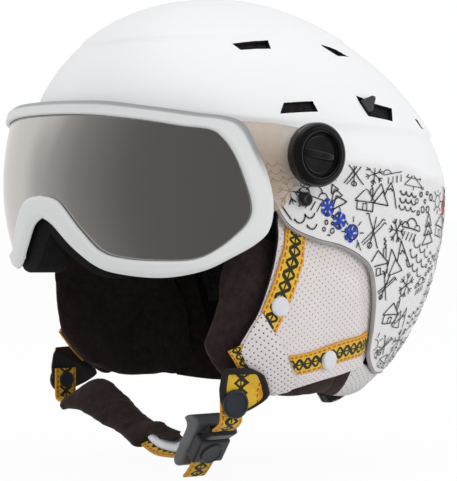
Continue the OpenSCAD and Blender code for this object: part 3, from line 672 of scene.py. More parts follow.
@dataclass(frozen=True)
class Webbing(Finish):
    """Yellow ribbed webbing with orange edge stitches and a bold black geometric print."""

    width: float = 15.0
    yellow: Colour = (0.72, 0.40, 0.012)
    pale: Colour = (0.92, 0.62, 0.05)
    stitch: Colour = (0.62, 0.12, 0.01)
    print_: Colour = (0.03, 0.03, 0.012)

    def shade(self, tree: Tree) -> dict[str, Any]:
        """Ribs run across; stitches dash along both edges; two zigzags cross over a thin
        line down the middle."""
        u, v = tree.pattern_place()
        side = abs(v) - (self.width / 2 - 1.5)
        rib = (u * (2 * math.pi / 0.95)).sine()
        yarn = (v * (2 * math.pi / 0.8)).sine()
        dash = (abs(side) < 0.55) * ((u / 3.4 + v * 0.02).fract() < 0.66)
        selvage = side.step(0.6, 1.4)
        inside = abs(v) < self.width / 2 - 2.9
        wave = ((u / 11.6).wave() - 0.5) * 7.6
        drawn = (abs(v - wave) < 1.6).high(abs(v + wave) < 1.2).high(abs(v) < 0.5) * inside
        cloud = tree.noise(2.2, 3.0)
        cloth = tree.blend(cloud, self.yellow, self.pale)
        cloth = tree.blend(selvage * 0.75, cloth, (0.72, 0.26, 0.015))
        cloth = tree.blend(drawn, cloth, self.print_)
        return {
            "Base_Color": tree.blend(dash, cloth, self.stitch),
            "Roughness": 0.78,
            "Sheen_Weight": 0.1,
            "Normal": tree.bump(rib * 0.5 + yarn * 0.3 + dash * 1.6, 0.16),
        }


@dataclass(frozen=True)
class MirrorLens(Finish):
    """Silver mirror over smoke, which turns clear and beige on the arms."""

    mirror: Colour = (0.60, 0.575, 0.555)
    arm: Colour = (0.55, 0.42, 0.31)

    def shade(self, tree: Tree) -> dict[str, Any]:
        """The mesh's own mark says what is clear arm."""
        clear = tree.mark("clear")
        cloud = tree.noise(60.0, 2.0)
        return {
            "Base_Color": tree.blend(clear, self.mirror, self.arm),
            "Metallic": 1 - clear,
            "Roughness": 0.07 + cloud * 0.03,
            "Alpha": 1 - clear * 0.6,
        }


@dataclass(frozen=True)
class Satin(Finish):
    """Satin silver-white paint, with painted shade: the outer bevel's upper run is coloured darker."""

    face: Colour = (0.775, 0.78, 0.775)
    # Dark grey of the painted shade on the outer bevel's upper run
    bevel: Colour = (0.27, 0.285, 0.29)

    def shade(self, tree: Tree) -> dict[str, Any]:
        """The mesh's own mark says where the painted shade on the bevel lies; fine flakes dent the
        paint.
        """
        bevel, cloud = tree.mark("bevel"), tree.noise(26.0, 3.0)
        return {
            "Base_Color": tree.blend(bevel, self.face, self.bevel),
            "Roughness": 0.36 + (cloud - 0.5) * 0.12,
            "Coat_Weight": 0.15,
            "Coat_Roughness": 0.12,
            "Normal": tree.bump(tree.cells(1.3), 0.008),
        }


@dataclass(frozen=True)
class Foam(Finish):
    """Moulded bead foam with the outlines of its beads."""

    colour: Colour = (0.011, 0.010, 0.010)
    size: float = 3.4

    def shade(self, tree: Tree) -> dict[str, Any]:
        """Each bead swells a little and its edge is duller."""
        bead = tree.cells(self.size)
        pale = tuple(c * 2.2 for c in self.colour)
        return {
            "Base_Color": tree.blend(bead.step(0.1, 0.6), self.colour, pale),
            "Roughness": 0.82,
            "Specular_IOR_Level": 0.1,
            "Normal": tree.bump(1 - bead, self.size * 0.15),
        }


@dataclass(frozen=True)
class Steel(Finish):
    """Brushed steel."""

    colour: Colour = (0.6, 0.6, 0.62)

    def shade(self, tree: Tree) -> dict[str, Any]:
        """Fine noise roughens the metal."""
        fine = tree.noise(0.4, 2.0)
        return {
            "Base_Color": self.colour,
            "Metallic": 1.0,
            "Roughness": 0.25 + fine * 0.2,
            "Normal": tree.bump(fine, 0.01),
        }


@dataclass(frozen=True)
class Paint(Finish):
    """Brushed or inked paint on the lacquer."""

    colour: Colour = (0.012, 0.012, 0.014)

    def shade(self, tree: Tree) -> dict[str, Any]:
        """The paint is thinner in places."""
        thin = tree.noise(2.5, 3.0).step(0.55, 0.8)
        pale = tuple(min(1.0, c * 1.5 + 0.05) for c in self.colour)
        return {"Base_Color": tree.blend(thin, self.colour, pale), "Roughness": 0.5}


LACQUER = Lacquer("shell_lacquer", "shell_white")
BEAD = Moulded("edge_bead", "trim_grey", (0.36, 0.335, 0.325), 0.6)
FOAM = Foam("bead_foam", "foam")
FLEECE = Fleece("black_fleece", "fleece")
LEATHER = Perforated("perforated_leather", "cover_fabric", (0.74, 0.685, 0.67), 4.4, 0.072)
PATCH_LEATHER = Perforated("patch_leather", "cover_fabric", (0.74, 0.69, 0.68), 5.2, 0.1)
TAPE = Webbing("printed_tape", "webbing", 13.5)
STRAP = Webbing("printed_strap", "webbing", 15.0)
INLAY = Webbing("printed_inlay", "webbing", 26.0)
SNAP = Moulded("snap_cap", "snap", (0.72, 0.72, 0.76), 0.4, 1.0, 0.01)
LENS = MirrorLens("mirror_lens", "lens")
# Satin paint of the frame, with painted shade on its upper outer bevel
FRAME = Satin("satin_frame", "frame_white")
GASKET = Foam("gasket_cells", "gasket_foam", (0.005, 0.005, 0.0055), 1.3)
GLOSS = Moulded("gloss_black", "knob_black", (0.003, 0.0027, 0.003), 0.16, 3.0, 0.004, 0.1)
STEEL = Steel("plain_steel", "steel")
RUBBER = Moulded("black_rubber", "rubber_black", (0.012, 0.011, 0.012), 0.3, 1.5, 0.01, 0.3)
BADGE = Moulded("slate_disc", "badge_slate", (0.022, 0.027, 0.035), 0.42, 0.8, 0.015)
BUCKLE = Moulded("buckle_plastic", "buckle_grey", (0.03, 0.031, 0.034), 0.4, 0.5, 0.02)
# The tongue: the buckle's grey made lighter, as painted light on its lit face
LIT_TONGUE_GREY = Moulded("plate_plastic", "buckle_grey", (0.115, 0.117, 0.124), 0.4, 0.5, 0.02)
NYLON = Moulded("black_nylon", "black_nylon", (0.022, 0.021, 0.023), 0.5, 0.6, 0.03)
TAB = Moulded("tab_leather", "tab_black", (0.02, 0.017, 0.017), 0.66, 0.9, 0.08)
PADDING = Moulded("white_padding", "white_pad", (0.78, 0.82, 0.88), 0.85, 0.5, 0.1)
ROLL = Perforated("neck_leather", "cover_fabric", (0.68, 0.655, 0.65), 6.4, 0.075)
INK = Paint("black_ink", "shell_white")
BLUE = Paint("blue_brush", "shell_white", (0.012, 0.05, 0.42))
RED = Paint("red_brush", "shell_white", (0.75, 0.03, 0.035))


def to_object(name: str, shape: Surface) -> bpy.types.Object:
    """Puts a surface into a new object whose faces all point outwards.

    Args:
        name: the object's name.
        shape: the surface, with its pattern places and its marks.

    Returns:
        The object, in the scene.
    """
    mesh = bpy.data.meshes.new(name)
    mesh.from_pydata((shape.points * MM).tolist(), [], shape.faces)
    if shape.flat is not None:
        corners = np.zeros(len(mesh.loops), np.int32)
        mesh.loops.foreach_get("vertex_index", corners)
        layer = mesh.uv_layers.new(name="pattern")
        layer.data.foreach_set("uv", (shape.flat[corners] * MM).astype(np.float32).ravel())
    for key, values in shape.marks.items():
        held = mesh.attributes.new(key, "FLOAT", "POINT")
        held.data.foreach_set("value", values.astype(np.float32))
    work = bmesh.new()
    work.from_mesh(mesh)
    bmesh.ops.recalc_face_normals(work, faces=work.faces)
    work.to_mesh(mesh)
    work.free()
    mesh.shade_smooth()
    return placed(name, mesh)


@dataclass
class Piece:
    """One dressed piece: its shape, finish, body and the nodes that it stands for."""

    name: str
    shape: Surface
    finish: Finish
    body: Body
    nodes: Sequence[str] = ()
    sharp: float = 50.0
    fill: Optional[float] = None
    cut: Optional[Surface] = None
    lining: Optional[Finish] = None
    puff: float = 0.0

    def make(self) -> bpy.types.Object:
        """Makes the object, finishes it and ties it to its body.

        Returns:
            The finished object, at the origin.
        """
        made = to_object(self.name, self.shape)
        kinds = [kind.material() for kind in (self.finish, self.lining) if kind is not None]
        if self.cut is not None:
            self._carve(made, kinds)
        if self.puff:
            self._puffed(made)
        made.data.set_sharp_from_angle(angle=math.radians(self.sharp))
        if self.cut is None:
            self._cover(made, kinds)
        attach(made, self.body.value)
        if self.cut is not None:
            made.modifiers.new("even_shading", "WEIGHTED_NORMAL").keep_sharp = True
        if self.nodes:
            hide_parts(*self.nodes)
        LOG.info("%s: %d faces on %s", self.name, len(made.data.polygons), self.body.value)
        return made

    @classmethod
    def sided(
        cls, side: Side, name: str, shape: Surface, finish: Finish, node: str = "", **more: Any
    ) -> None:
        """Makes one side's piece from a shape on the left.

        Args:
            side: the side, which ends the names of the piece and of its node.
            name: the piece's name without its side.
            shape: the shape on the left, which is mirrored for the right.
            finish: the piece's finish.
            node: the name, without its side, of the node that it stands for, if there is one.
            more: other fields of the piece; it rides on the helmet unless a body is given.
        """
        more.setdefault("body", Body.HELMET)
        nodes = [f"{node}_{side.word}"] if node else []
        cls(f"{name}_{side.word}", shape.mirrored(side), finish, nodes=nodes, **more).make()

    @staticmethod
    def _apply(made: bpy.types.Object) -> None:
        """Puts the result of an object's modifiers into its mesh."""
        graph = bpy.context.evaluated_depsgraph_get()
        mesh = bpy.data.meshes.new_from_object(made.evaluated_get(graph))
        made.modifiers.clear()
        made.data = mesh

    def _carve(self, made: bpy.types.Object, kinds: list[bpy.types.Material]) -> None:
        """Cuts the piece's cutter out of it; the cut's walls get the last of its materials."""
        tool = to_object(self.name + "_cutter", self.cut)
        for mesh in (made.data, tool.data):
            for kind in kinds:
                mesh.materials.append(kind)
        walls = np.full(len(tool.data.polygons), len(kinds) - 1, np.int32)
        tool.data.polygons.foreach_set("material_index", walls)
        cut = made.modifiers.new("cut", "BOOLEAN")
        cut.operation = "DIFFERENCE"
        cut.solver = "EXACT"
        cut.object = tool
        self._apply(made)
        bpy.data.objects.remove(tool)

    def _cover(self, made: bpy.types.Object, kinds: list[bpy.types.Material]) -> None:
        """Gives an uncut piece its materials. A lining goes on the inner face of a wall, and on
        the faces that the shape's own mark names."""
        made.data.materials.clear()
        for kind in kinds:
            made.data.materials.append(kind)
        if self.lining is None:
            return
        second = np.arange(len(made.data.polygons)) >= self.shape.fronts
        if "lined" in self.shape.marks:
            lined = self.shape.marks["lined"]
            second |= np.array([lined[face[0]] > 0.5 for face in self.shape.faces])
        made.data.polygons.foreach_set("material_index", second.astype(np.int32))

    def _puffed(self, made: bpy.types.Object) -> None:
        """Fills the pad out as cloth: its skin, shrunk along its normals by the puff, swells
        under pressure. Each point's way is held under twice the puff by a soft limit, so the
        pad keeps to its own room: limit * (1 - exp(-way / limit))."""
        even = made.modifiers.new("even", "REMESH")
        even.mode = "VOXEL"
        even.voxel_size = PUFF_VOXEL * MM
        self._apply(made)
        count = len(made.data.vertices)
        start, normal = np.zeros(count * 3), np.zeros(count * 3)
        made.data.vertices.foreach_get("co", start)
        made.data.vertices.foreach_get("normal", normal)
        start = start.reshape(-1, 3) - normal.reshape(-1, 3) * self.puff * MM
        made.data.vertices.foreach_set("co", start.ravel())
        cloth = made.modifiers.new("cloth", "CLOTH")
        cloth.settings.use_pressure = True
        cloth.settings.uniform_pressure_force = PUFF_PRESSURE
        cloth.settings.effector_weights.gravity = 0.0
        cloth.point_cache.frame_end = PUFF_FRAMES
        for k in range(1, PUFF_FRAMES + 1):
            bpy.context.scene.frame_set(k)
        graph = bpy.context.evaluated_depsgraph_get()
        end = np.zeros(count * 3)
        made.evaluated_get(graph).data.vertices.foreach_get("co", end)
        move = end.reshape(-1, 3) - start
        far = np.linalg.norm(move, axis=1, keepdims=True)
        limit = PUFF_REACH * self.puff * MM
        move *= limit * (1 - np.exp(-far / limit)) / np.maximum(far, 1e-9)
        made.modifiers.clear()
        made.data.vertices.foreach_set("co", (start + move).ravel())
        bpy.context.scene.frame_set(1)
        finer = made.modifiers.new("finer", "SUBSURF")
        finer.levels = finer.render_levels = 1
        self._apply(made)
        made.data.shade_smooth()
        LOG.info("%s: swelled by up to %.1f mm", self.name, float(far.max()) / MM)


# Values of the shell that its form repeats from the solids
RIM = [
    (0, 0.15), (13, 0.15), (26, 0.15), (38, 0.146), (50, 0.135), (62, 0.07), (70, -0.02),
    (76, -0.095), (85, -0.13), (95, -0.15), (103, -0.18), (108.5, -0.22), (112, -0.3),
    (114.5, -0.4), (118, -0.51), (128, -0.585), (138, -0.598), (148, -0.6), (158, -0.6),
    (169, -0.6), (180, -0.6),
]  # fmt: skip
RIDGE = [(0, 0.5), (60, 0.56), (98, 0.63), (147, 0.6), (180, 0.6)]
LOWER = [(0, 0.12), (85, 0.12), (100, 0.11), (120, 0.095), (140, 0.05), (150, 0.04), (180, 0.03)]
VENTS = [
    (69.5, 0.533, [(-12.5, 1.1), (11.4, 3.8), (10.4, -1.7), (-9.3, -3.2)]),
    (118, 0.535, [(-9, 4.5), (1.8, 1.7), (9.6, -3), (-2.4, -3.2)]),
    (81.8, 0.29, [(-9.1, 2), (10.2, 3), (12, -1.9), (-13.2, -3.1)]),
    (116.5, 0.302, [(-13.9, 6.5), (-0.2, 2.5), (15.3, 0.8), (9.5, -6), (-10.8, -3.7)]),
    (139.8, 0.267, [(-3.5, 2.7), (0.5, 2.2), (3.5, -2.7), (-0.5, -2.2)]),
]


@dataclass(frozen=True)
class ShellForm:
    """The hard shell's shape."""

    half_w: float = 112.5
    front: float = 121.0
    rear: float = 147.0
    crown: float = 33.0
    belt: float = 82.0
    wall: float = 2.4
    mid_y: float = 17.5
    power: float = 2.25
    tilt: float = 2.0
    skirt: float = 137.0
    band_t: float = 0.23
    run: float = 0.04
    mm_per_deg: float = 2.0
    mm_per_t: float = 200.0

    def relief(self, a: Array, t: Array) -> Array:
        """Height of the band and the crown panel: a smooth step at each one's level."""
        ridge = np.interp(np.abs(a), *np.array(RIDGE).T)
        band = 2.0 * (ease((t - self.band_t) / (self.run * 0.6) + 0.5) - 0.5)
        return band + 1.0 * (ease((t - ridge) / (self.run * 0.6) + 0.5) - 0.5)

    def point(self, a: Array, t: Array, off: Any = 0.0) -> Array:
        """Point of the outer face, or of a layer off millimetres outside it.

        The plan is a superellipse with its own reach ahead, behind and aside. Its size falls
        towards the crown as a power of the level's cosine and tucks in on the skirt.

        Args:
            a: angles round the shell.
            t: levels.
            off: millimetres outside the outer face.

        Returns:
            The points.
        """
        a, t = np.broadcast_arrays(np.asarray(a, float), np.asarray(t, float))
        c, s = np.cos(np.radians(a)), np.sin(np.radians(a))
        lift = off + self.relief(a, t)
        reach = np.where(c > 0, self.front, self.rear) + lift
        r = superellipse(c, s, reach, self.half_w + lift, self.power)
        bow = 2.3 * np.maximum(c, 0) ** 2 + 1.65 * np.maximum(-c, 0) ** 2 + 1.85 * s * s
        tuck = mix(0.75, 0.45, s * s)
        level = self.tilt * c - self.belt
        ct, st = np.cos(np.radians(90 * t)), np.sin(np.radians(90 * t))
        k = np.where(t > 0, np.abs(ct) ** (2 / bow), 1 - tuck * (1 - ct))
        up = np.abs(st) ** (2 / bow) * (self.crown + lift - level)
        z = level + np.where(t > 0, up, st * self.skirt)
        return np.stack([r * k * s, self.mid_y - r * k * c, z], -1)

    def place(self, a: float, t: float, off: float = 0.0) -> Place:
        """The place there, with z outward, x rearward and level, and y upward."""
        e = 0.02
        da = self.point(a + 50 * e, t) - self.point(a - 50 * e, t)
        dt = self.point(a, t + e) - self.point(a, t - e)
        n = unit(np.cross(da, dt))
        x = unit(np.array([-n[1], n[0], 0.0]))
        return Place(self.point(a, t, off), x, np.cross(n, x), n)

    def aside(self, line: Sequence, k: Array, step: float) -> Array:
        """What a millimetre square to a line of places adds to the angle and the level.

        Args:
            line: the line's angles and levels.
            k: shares of the way along it.
            step: the share before and behind from which its direction is taken.

        Returns:
            Angle and level, to the right of the way along.
        """
        along = spline(line, k + step) - spline(line, k - step)
        way = np.stack([along[..., 1] * self.mm_per_t, -along[..., 0] * self.mm_per_deg], -1)
        return unit(way) / np.array([self.mm_per_deg, self.mm_per_t])

    def rim(self, u: Array, d: Any = 0.0) -> Array:
        """Places along the shell's edge.

        Args:
            u: from 0 at the brow to 1 at the nape and on to 2 back at the brow.
            d: millimetres beyond the edge.

        Returns:
            Angle and level of each.
        """
        u = np.asarray(u, float)
        v = np.where(u <= 1, u, 2 - u)
        p = spline(RIM, v) + self.aside(RIM, v, 0.01) * np.asarray(d, float)[..., None]
        p[..., 0] = np.where(u <= 1, p[..., 0], -p[..., 0])
        return p


@dataclass
class Drawings:
    """Thin ink drawings of winter things that fill the lower shell, and two brush marks."""

    form: ShellForm
    lift: float = 0.12
    thick: float = 0.08
    pitch: float = 18.0
    pen: float = 0.6
    step: float = 0.8

    def build(self) -> None:
        """Lays one drawing at each place of a jittered grid, and makes both sides' pieces."""
        rng = np.random.default_rng(SEED)
        kinds = [
            self._peaks, self._pine, self._flake, self._sun, self._waves, self._cabin,
            self._cloud, self._skis, self._snow,
        ]  # fmt: skip
        across, down = self.pitch / self.form.mm_per_deg, self.pitch / self.form.mm_per_t
        ink: list[Surface] = []
        for i, t in enumerate(np.arange(0.075, -0.6, -down)):
            for j, a in enumerate(np.arange(62.0 + (i % 2) * across / 2, 182.0, across)):
                at = (a + rng.uniform(-1.5, 1.5), t + rng.uniform(-0.015, 0.015))
                size, turn = self.pitch * rng.uniform(0.75, 1.2), rng.uniform(-0.4, 0.4)
                for line in kinds[(4 * j + 7 * i) % len(kinds)](size):
                    wobble = np.cumsum(rng.normal(0, 0.05, line.shape), 0)
                    ink += self._stroke(at, line + wobble, self.pen * rng.uniform(0.8, 1.25), turn)
        blue, red = [], []
        for k in (-1, 0, 1):
            for line in self._flake(11.0):
                blue += self._stroke((93.5, -0.083), line + np.array([11.5 * k, 0.0]), 1.5, -0.66)
        for line in self._flake(10.0):
            red += self._stroke((147, -0.045), line, 1.5, 0.2)
        for side in Side:
            for name, strokes, finish in (
                ("ink_drawing", ink, INK), ("blue_brush", blue, BLUE), ("red_brush", red, RED)
            ):  # fmt: skip
                Piece.sided(side, name, Surface.joined(strokes), finish)

    def _stroke(
        self, place: tuple[float, float], line: Array, width: float, turn: float
    ) -> list[Surface]:
        """Flat strokes along a line of millimetres right and up from a place on the shell.

        The line turns about its middle. Each point moves half the width to both sides, square
        to the line, and the strip gets a thin underside. What lies outside the lower shell is
        cut off, so one line can give several strokes.
        """
        c, n = math.cos(turn), math.sin(turn)
        line = line @ np.array([[c, n], [-n, c]])
        a, t = self._spot(place, line)
        low, high = np.interp(a, *np.array(RIM).T), np.interp(a, *np.array(LOWER).T)
        inside = (t > low + 0.012) & (t < high - 0.014) & (a < 180)
        cuts = np.flatnonzero(np.diff(inside.astype(int))) + 1
        runs = zip(np.split(line, cuts), np.split(inside, cuts))
        return [self._ribbon(place, p, width) for p, kept in runs if kept[0] and len(p) > 3]

    def _spot(self, place: tuple[float, float], p: Array) -> tuple[Array, Array]:
        """Angle and level of points in millimetres right and up from a place."""
        return place[0] + p[..., 0] / self.form.mm_per_deg, place[1] + p[..., 1] / self.form.mm_per_t

    def _ribbon(self, place: tuple[float, float], line: Array, width: float) -> Surface:
        """One closed strip along a line, half its width to both sides."""
        way = unit(np.gradient(line, axis=0) + 1e-9)
        side = np.stack([-way[:, 1], way[:, 0]], -1) * width / 2
        a, t = self._spot(place, np.stack([line + side, line - side]))
        return Surface.wall(
            self.form.point(a, t, self.lift), self.form.point(a, t, self.lift - self.thick)
        )

    def _run(self, *corners: Sequence) -> Array:
        """Points a step apart along straight runs between corners."""
        p = np.array(corners, float)
        length = run_length(p)
        s = np.linspace(0, length[-1], max(4, int(length[-1] / self.step)))
        s = np.unique(np.concatenate([s, length]))
        return np.stack([np.interp(s, length, p[:, k]) for k in (0, 1)], -1)

    @staticmethod
    def _arc(x: float, y: float, r: float, start: float = 0.0, end: float = 2 * math.pi) -> Array:
        """Points of an arc about (x, y)."""
        w = np.linspace(start, end, max(7, int(abs(end - start) * 3.2)))
        return np.stack([x + r * np.cos(w), y + r * np.sin(w)], -1)

    @staticmethod
    def _swell(width: float, height: float, waves: float, lean: float = 0.0) -> Array:
        """Row of waves: a sine that leans by moving each point along with its height."""
        x = np.linspace(-width / 2, width / 2, int(15 * waves) + 2)
        w = 2 * np.pi * waves * (x / width + 0.5)
        return np.stack([x + lean * np.cos(w), height / 2 * np.sin(w)], -1)

    def _peaks(self, s: float) -> list[Array]:
        """Two peaks with snow lines and a smaller one in front."""
        ridge = [(-0.6, -0.4), (-0.25, 0.35), (-0.02, -0.1), (0.2, 0.5), (0.6, -0.4)]
        cap = [(0.04, 0.18), (0.14, 0.08), (0.22, 0.2), (0.3, 0.06), (0.36, 0.14)]
        near = [(-0.45, -0.4), (-0.1, 0.0), (0.2, -0.4), (-0.45, -0.4)]
        return [self._run(*(np.array(line) * s)) for line in (ridge, cap, near)]

    def _pine(self, s: float) -> list[Array]:
        """Three open triangles over a short trunk."""
        lines = [self._run((0, -0.62 * s), (0, -0.42 * s))]
        for k, w in enumerate((0.42, 0.33, 0.22)):
            low, top = s * (-0.42 + 0.3 * k), s * (0.02 + 0.3 * k)
            lines.append(self._run((-w * s, low), (0, top), (w * s, low), (-w * s, low)))
        return lines

    def _flake(self, s: float) -> list[Array]:
        """Six spokes, each with a small pair of barbs."""
        lines = []
        for k in range(6):
            w = np.pi * k / 3 + 0.2
            d, n = np.array([np.cos(w), np.sin(w)]) * s, np.array([-np.sin(w), np.cos(w)]) * s
            lines.append(self._run((0, 0), d * 0.46))
            lines.append(self._run(d * 0.42 + n * 0.13, d * 0.26, d * 0.42 - n * 0.13))
        return lines

    def _sun(self, s: float) -> list[Array]:
        """A disc with eight rays round it."""
        w = np.arange(8) * np.pi / 4
        rays = [(np.array([np.cos(k), np.sin(k)]) * s) for k in w]
        return [self._arc(0, 0, 0.22 * s), *(self._run(0.3 * r, 0.47 * r) for r in rays)]

    def _waves(self, s: float) -> list[Array]:
        """Three rows of leaning waves."""
        return [self._swell(1.1 * s, 0.18 * s, 3, 0.06 * s) + [0, k * s] for k in (-0.3, 0, 0.3)]

    def _cabin(self, s: float) -> list[Array]:
        """A low cabin with a steep roof, a door and a smoking chimney."""
        wall = [(-0.36, 0.0), (-0.36, -0.3), (0.36, -0.3), (0.36, 0.0)]
        roof = [(-0.45, 0.0), (0, 0.4), (0.45, 0.0), (-0.45, 0.0)]
        door = [(-0.09, -0.3), (-0.09, -0.1), (0.09, -0.1), (0.09, -0.3)]
        stack = [(0.2, 0.22), (0.2, 0.42), (0.3, 0.42), (0.3, 0.13)]
        lines = [self._run(*(np.array(line) * s)) for line in (wall, roof, door, stack)]
        smoke = self._swell(0.3 * s, 0.08 * s, 2)[:, ::-1]
        return [*lines, smoke + [0.26 * s, 0.6 * s]]

    def _cloud(self, s: float) -> list[Array]:
        """Three bumps over a flat foot, with slanted flurries under it."""
        foot = self._run((-0.5 * s, 0), (0.5 * s, 0))
        bumps = [self._arc(x * s, 0, r * s, np.pi, 0) for x, r in ((-0.32, 0.18), (0.34, 0.16))]
        falls = [
            self._run((x * s, -0.12 * s), ((x - 0.1) * s, -0.38 * s)) for x in (-0.3, -0.1, 0.1, 0.3)
        ]
        return [foot, *bumps, self._arc(0.01 * s, 0.02 * s, 0.3 * s, 2.9, 0.3), *falls]

    def _skis(self, s: float) -> list[Array]:
        """Two crossed skis with turned-up tips, and a pole."""
        ski = [(-0.4, -0.45), (0.25, 0.35), (0.34, 0.5), (0.46, 0.48)]
        one = self._run(*(np.array(ski) * s))
        pole = self._run((0, -0.55 * s), (0.02 * s, 0.5 * s))
        return [one, one * [-1, 1], one + [0.09 * s, -0.05 * s], pole, self._arc(0, -0.44 * s, 0.1 * s)]

    def _snow(self, s: float) -> list[Array]:
        """Small rings scattered by the golden angle."""
        k = np.arange(9)
        r, w = 0.5 * s * np.sqrt((k + 0.5) / 9), 2.4 * k
        return [
            self._arc(x, y, s * (0.05 + 0.02 * (n % 3)))
            for n, (x, y) in enumerate(zip(r * np.cos(w), r * np.sin(w)))
        ]


@dataclass
class Shell:
    """The hard shell with its edge bead, vents, painted drawings, liner and pads."""

    form: ShellForm = field(default_factory=ShellForm)
    cols: int = 400
    lip: float = 0.7
    lip_run: float = 2.2
    low_step: float = 0.45
    vent_tall: float = 1.4
    vent_long: float = 1.06
    liner_gap: float = 0.8
    liner_inset: float = 10.0
    liner_low: float = -0.36
    liner_cols: int = 160
    seat_x: float = 101.0

    def build(self) -> None:
        """Makes all pieces of the shell."""
        self._skin()
        self._bead()
        self._seats()
        Drawings(self.form).build()
        self._liner()
        self._pads()

    def _vent_places(self) -> list[tuple[Place, Array]]:
        """Each vent's place and outline, on both sides."""
        found = []
        for a, t, outline in VENTS:
            place = self.form.place(a, t)
            found += [(at, np.array(outline)) for at in (place, place.flipped())]
        return found

    @staticmethod
    def _outside(p: Array, outline: Array) -> Array:
        """Distance of flat points from a convex outline's edge, below 0 within it."""
        middle = outline.mean(0)
        ends = np.roll(outline, -1, 0)
        gap = np.full(p.shape[:-1], 1e9)
        inside = np.ones(p.shape[:-1], bool)
        for a, b in zip(outline, ends):
            d = b - a
            k = np.clip(((p - a) @ d) / (d @ d), 0, 1)
            gap = np.minimum(gap, np.linalg.norm(p - a - k[..., None] * d, axis=-1))
            n = np.array([-d[1], d[0]])
            inside &= ((p - a) @ n) * ((middle - a) @ n) >= 0
        return np.where(inside, -gap, gap)

    def _skin(self) -> None:
        """The shell's two faces on rings of constant share of the way up from its edge.

        Outside points sink towards each vent's edge by a smooth step of their distance from
        it, and the lower shell lies one small step under the part above it.
        """
        f = self.form
        u = 2 * np.arange(self.cols) / self.cols
        rim = f.rim(u)
        low = np.linspace(0, 1, 26, endpoint=False)
        spans = ((0.2, 0.27, 9), (0.27, 0.45, 16), (0.45, 0.68, 26))
        rows = [np.linspace(start, end, n, endpoint=False) for start, end, n in spans]
        high = np.concatenate([*rows, np.linspace(0.68, 0.975, 22)])
        t = np.vstack(
            [mix(rim[None, :, 1], 0.2, low[:, None]), np.repeat(high[:, None], self.cols, 1)]
        )
        a = np.broadcast_to(rim[None, :, 0], t.shape)
        line = np.interp(np.abs(a), *np.array(LOWER).T)
        under = 1 - ease((t - line) / 0.02 + 0.5)
        off = -self.low_step * under
        base = f.point(a, t)
        for place, outline in self._vent_places():
            local = place.into(base)
            near = np.abs(local[..., 2]) < 14
            gap = np.where(near, self._outside(local[..., :2], outline), 1e9)
            off = off - self.lip * ease(1 - gap / self.lip_run)
        skin = Surface.wall(f.point(a, t, off), f.point(a, t, -f.wall), wrap=True, tips=True)
        skin.marks["lower"] = np.concatenate([under.ravel(), under.ravel(), [0.0, 0.0]])
        skin.marks["inner"] = np.repeat([0.0, 1.0, 0.0, 1.0], [t.size, t.size, 1, 1])
        prisms = []
        for place, outline in self._vent_places():
            tall = outline * np.array([self.vent_long, self.vent_tall])
            ends = [np.concatenate([tall, np.full((len(tall), 1), z)], -1) for z in (-7.0, 8.0)]
            prisms.append(Surface.tube(place.out(np.array(ends))))
        cutter = Surface.joined(prisms)
        Piece("shell_skin", skin, LACQUER, Body.HELMET, ["shell"], 38, cut=cutter, lining=FOAM).make()

    def _bead(self) -> None:
        """The bead: an ellipse of 16 points, beyond the edge and across the wall."""
        f = self.form
        u = 2 * np.arange(self.cols) / self.cols
        w = turns(16)
        d = 1.1 + 0.92 * np.cos(w)
        off = -1.25 + 1.3 * np.sin(w)
        p = f.rim(np.repeat(u[:, None], 16, 1), np.broadcast_to(d, (self.cols, 16)))
        rings = f.point(p[..., 0], p[..., 1], off[None])
        Piece("edge_bead", Surface.tube(rings, True), BEAD, Body.HELMET, ["edge_trim"], 80).make()

    def _seats(self) -> None:
        """The round seats of the pivots on the shell's sides."""
        for side in Side:
            place = Place.outward(PIVOT + [self.seat_x, 0, 0])
            profile = [(0, 0), (16.6, 0), (15.6, 5), (15.0, 8.6), (14.5, 10.6), (14.2, 12.1)]
            profile += [(13.8, 12.4), (0, 12.4)]
            seat = Surface.turned(profile, place, 72)
            seat.marks["lower"] = np.zeros(len(seat.points))
            bore = Surface.rod(3.0, PIVOT, (95.0, 120.0))
            Piece.sided(side, "pivot_seat", seat, LACQUER, sharp=38, cut=bore.mirrored(side))

    def liner_edge(self, a: Array) -> Array:
        """The liner's edge level at an angle: 10 mm within the shell's edge, and no lower than
        its own lowest level."""
        rim = self.form.rim(np.linspace(0, 1, 81), np.full(81, -self.liner_inset))
        level = np.maximum(rim[:, 1], self.liner_low)
        order = np.argsort(np.abs(rim[:, 0]))
        return np.interp(np.abs(a), np.abs(rim[order, 0]), level[order])

    def liner_in(self, t: Array, edge: Array) -> Array:
        """Offset of the liner's inner face, which thickens from its edge to the band."""
        share = np.clip((t - edge) / (self.form.band_t + self.form.run / 2 - edge), 0, 1)
        return -self.form.wall - self.liner_gap - mix(11.5, 21.5, share)

    def _liner(self) -> None:
        """The foam between an outer layer under the shell and an inner layer that thickens."""
        u = 2 * np.arange(self.liner_cols) / self.liner_cols
        rim = self.form.rim(u, np.full(len(u), -self.liner_inset))
        edge = np.maximum(rim[:, 1], self.liner_low)
        low = mix(edge[None], 0.21, np.linspace(0, 1, 15)[:, None])
        high = np.repeat(np.linspace(0.23, 0.975, 34)[:, None], len(u), 1)
        t = np.vstack([low, high])
        a = np.broadcast_to(rim[None, :, 0], t.shape)
        back = -self.form.wall - self.liner_gap
        soft = ease((t - edge[None]) / 0.05)
        inner = mix(back - 3.0, self.liner_in(t, edge[None]), soft * 0.35 + 0.65)
        outer = self.form.point(a, t, back)
        shape = Surface.wall(outer, self.form.point(a, t, inner), wrap=True, tips=True)
        Piece("foam_core", shape, FOAM, Body.HELMET, ["foam_liner"], 60).make()

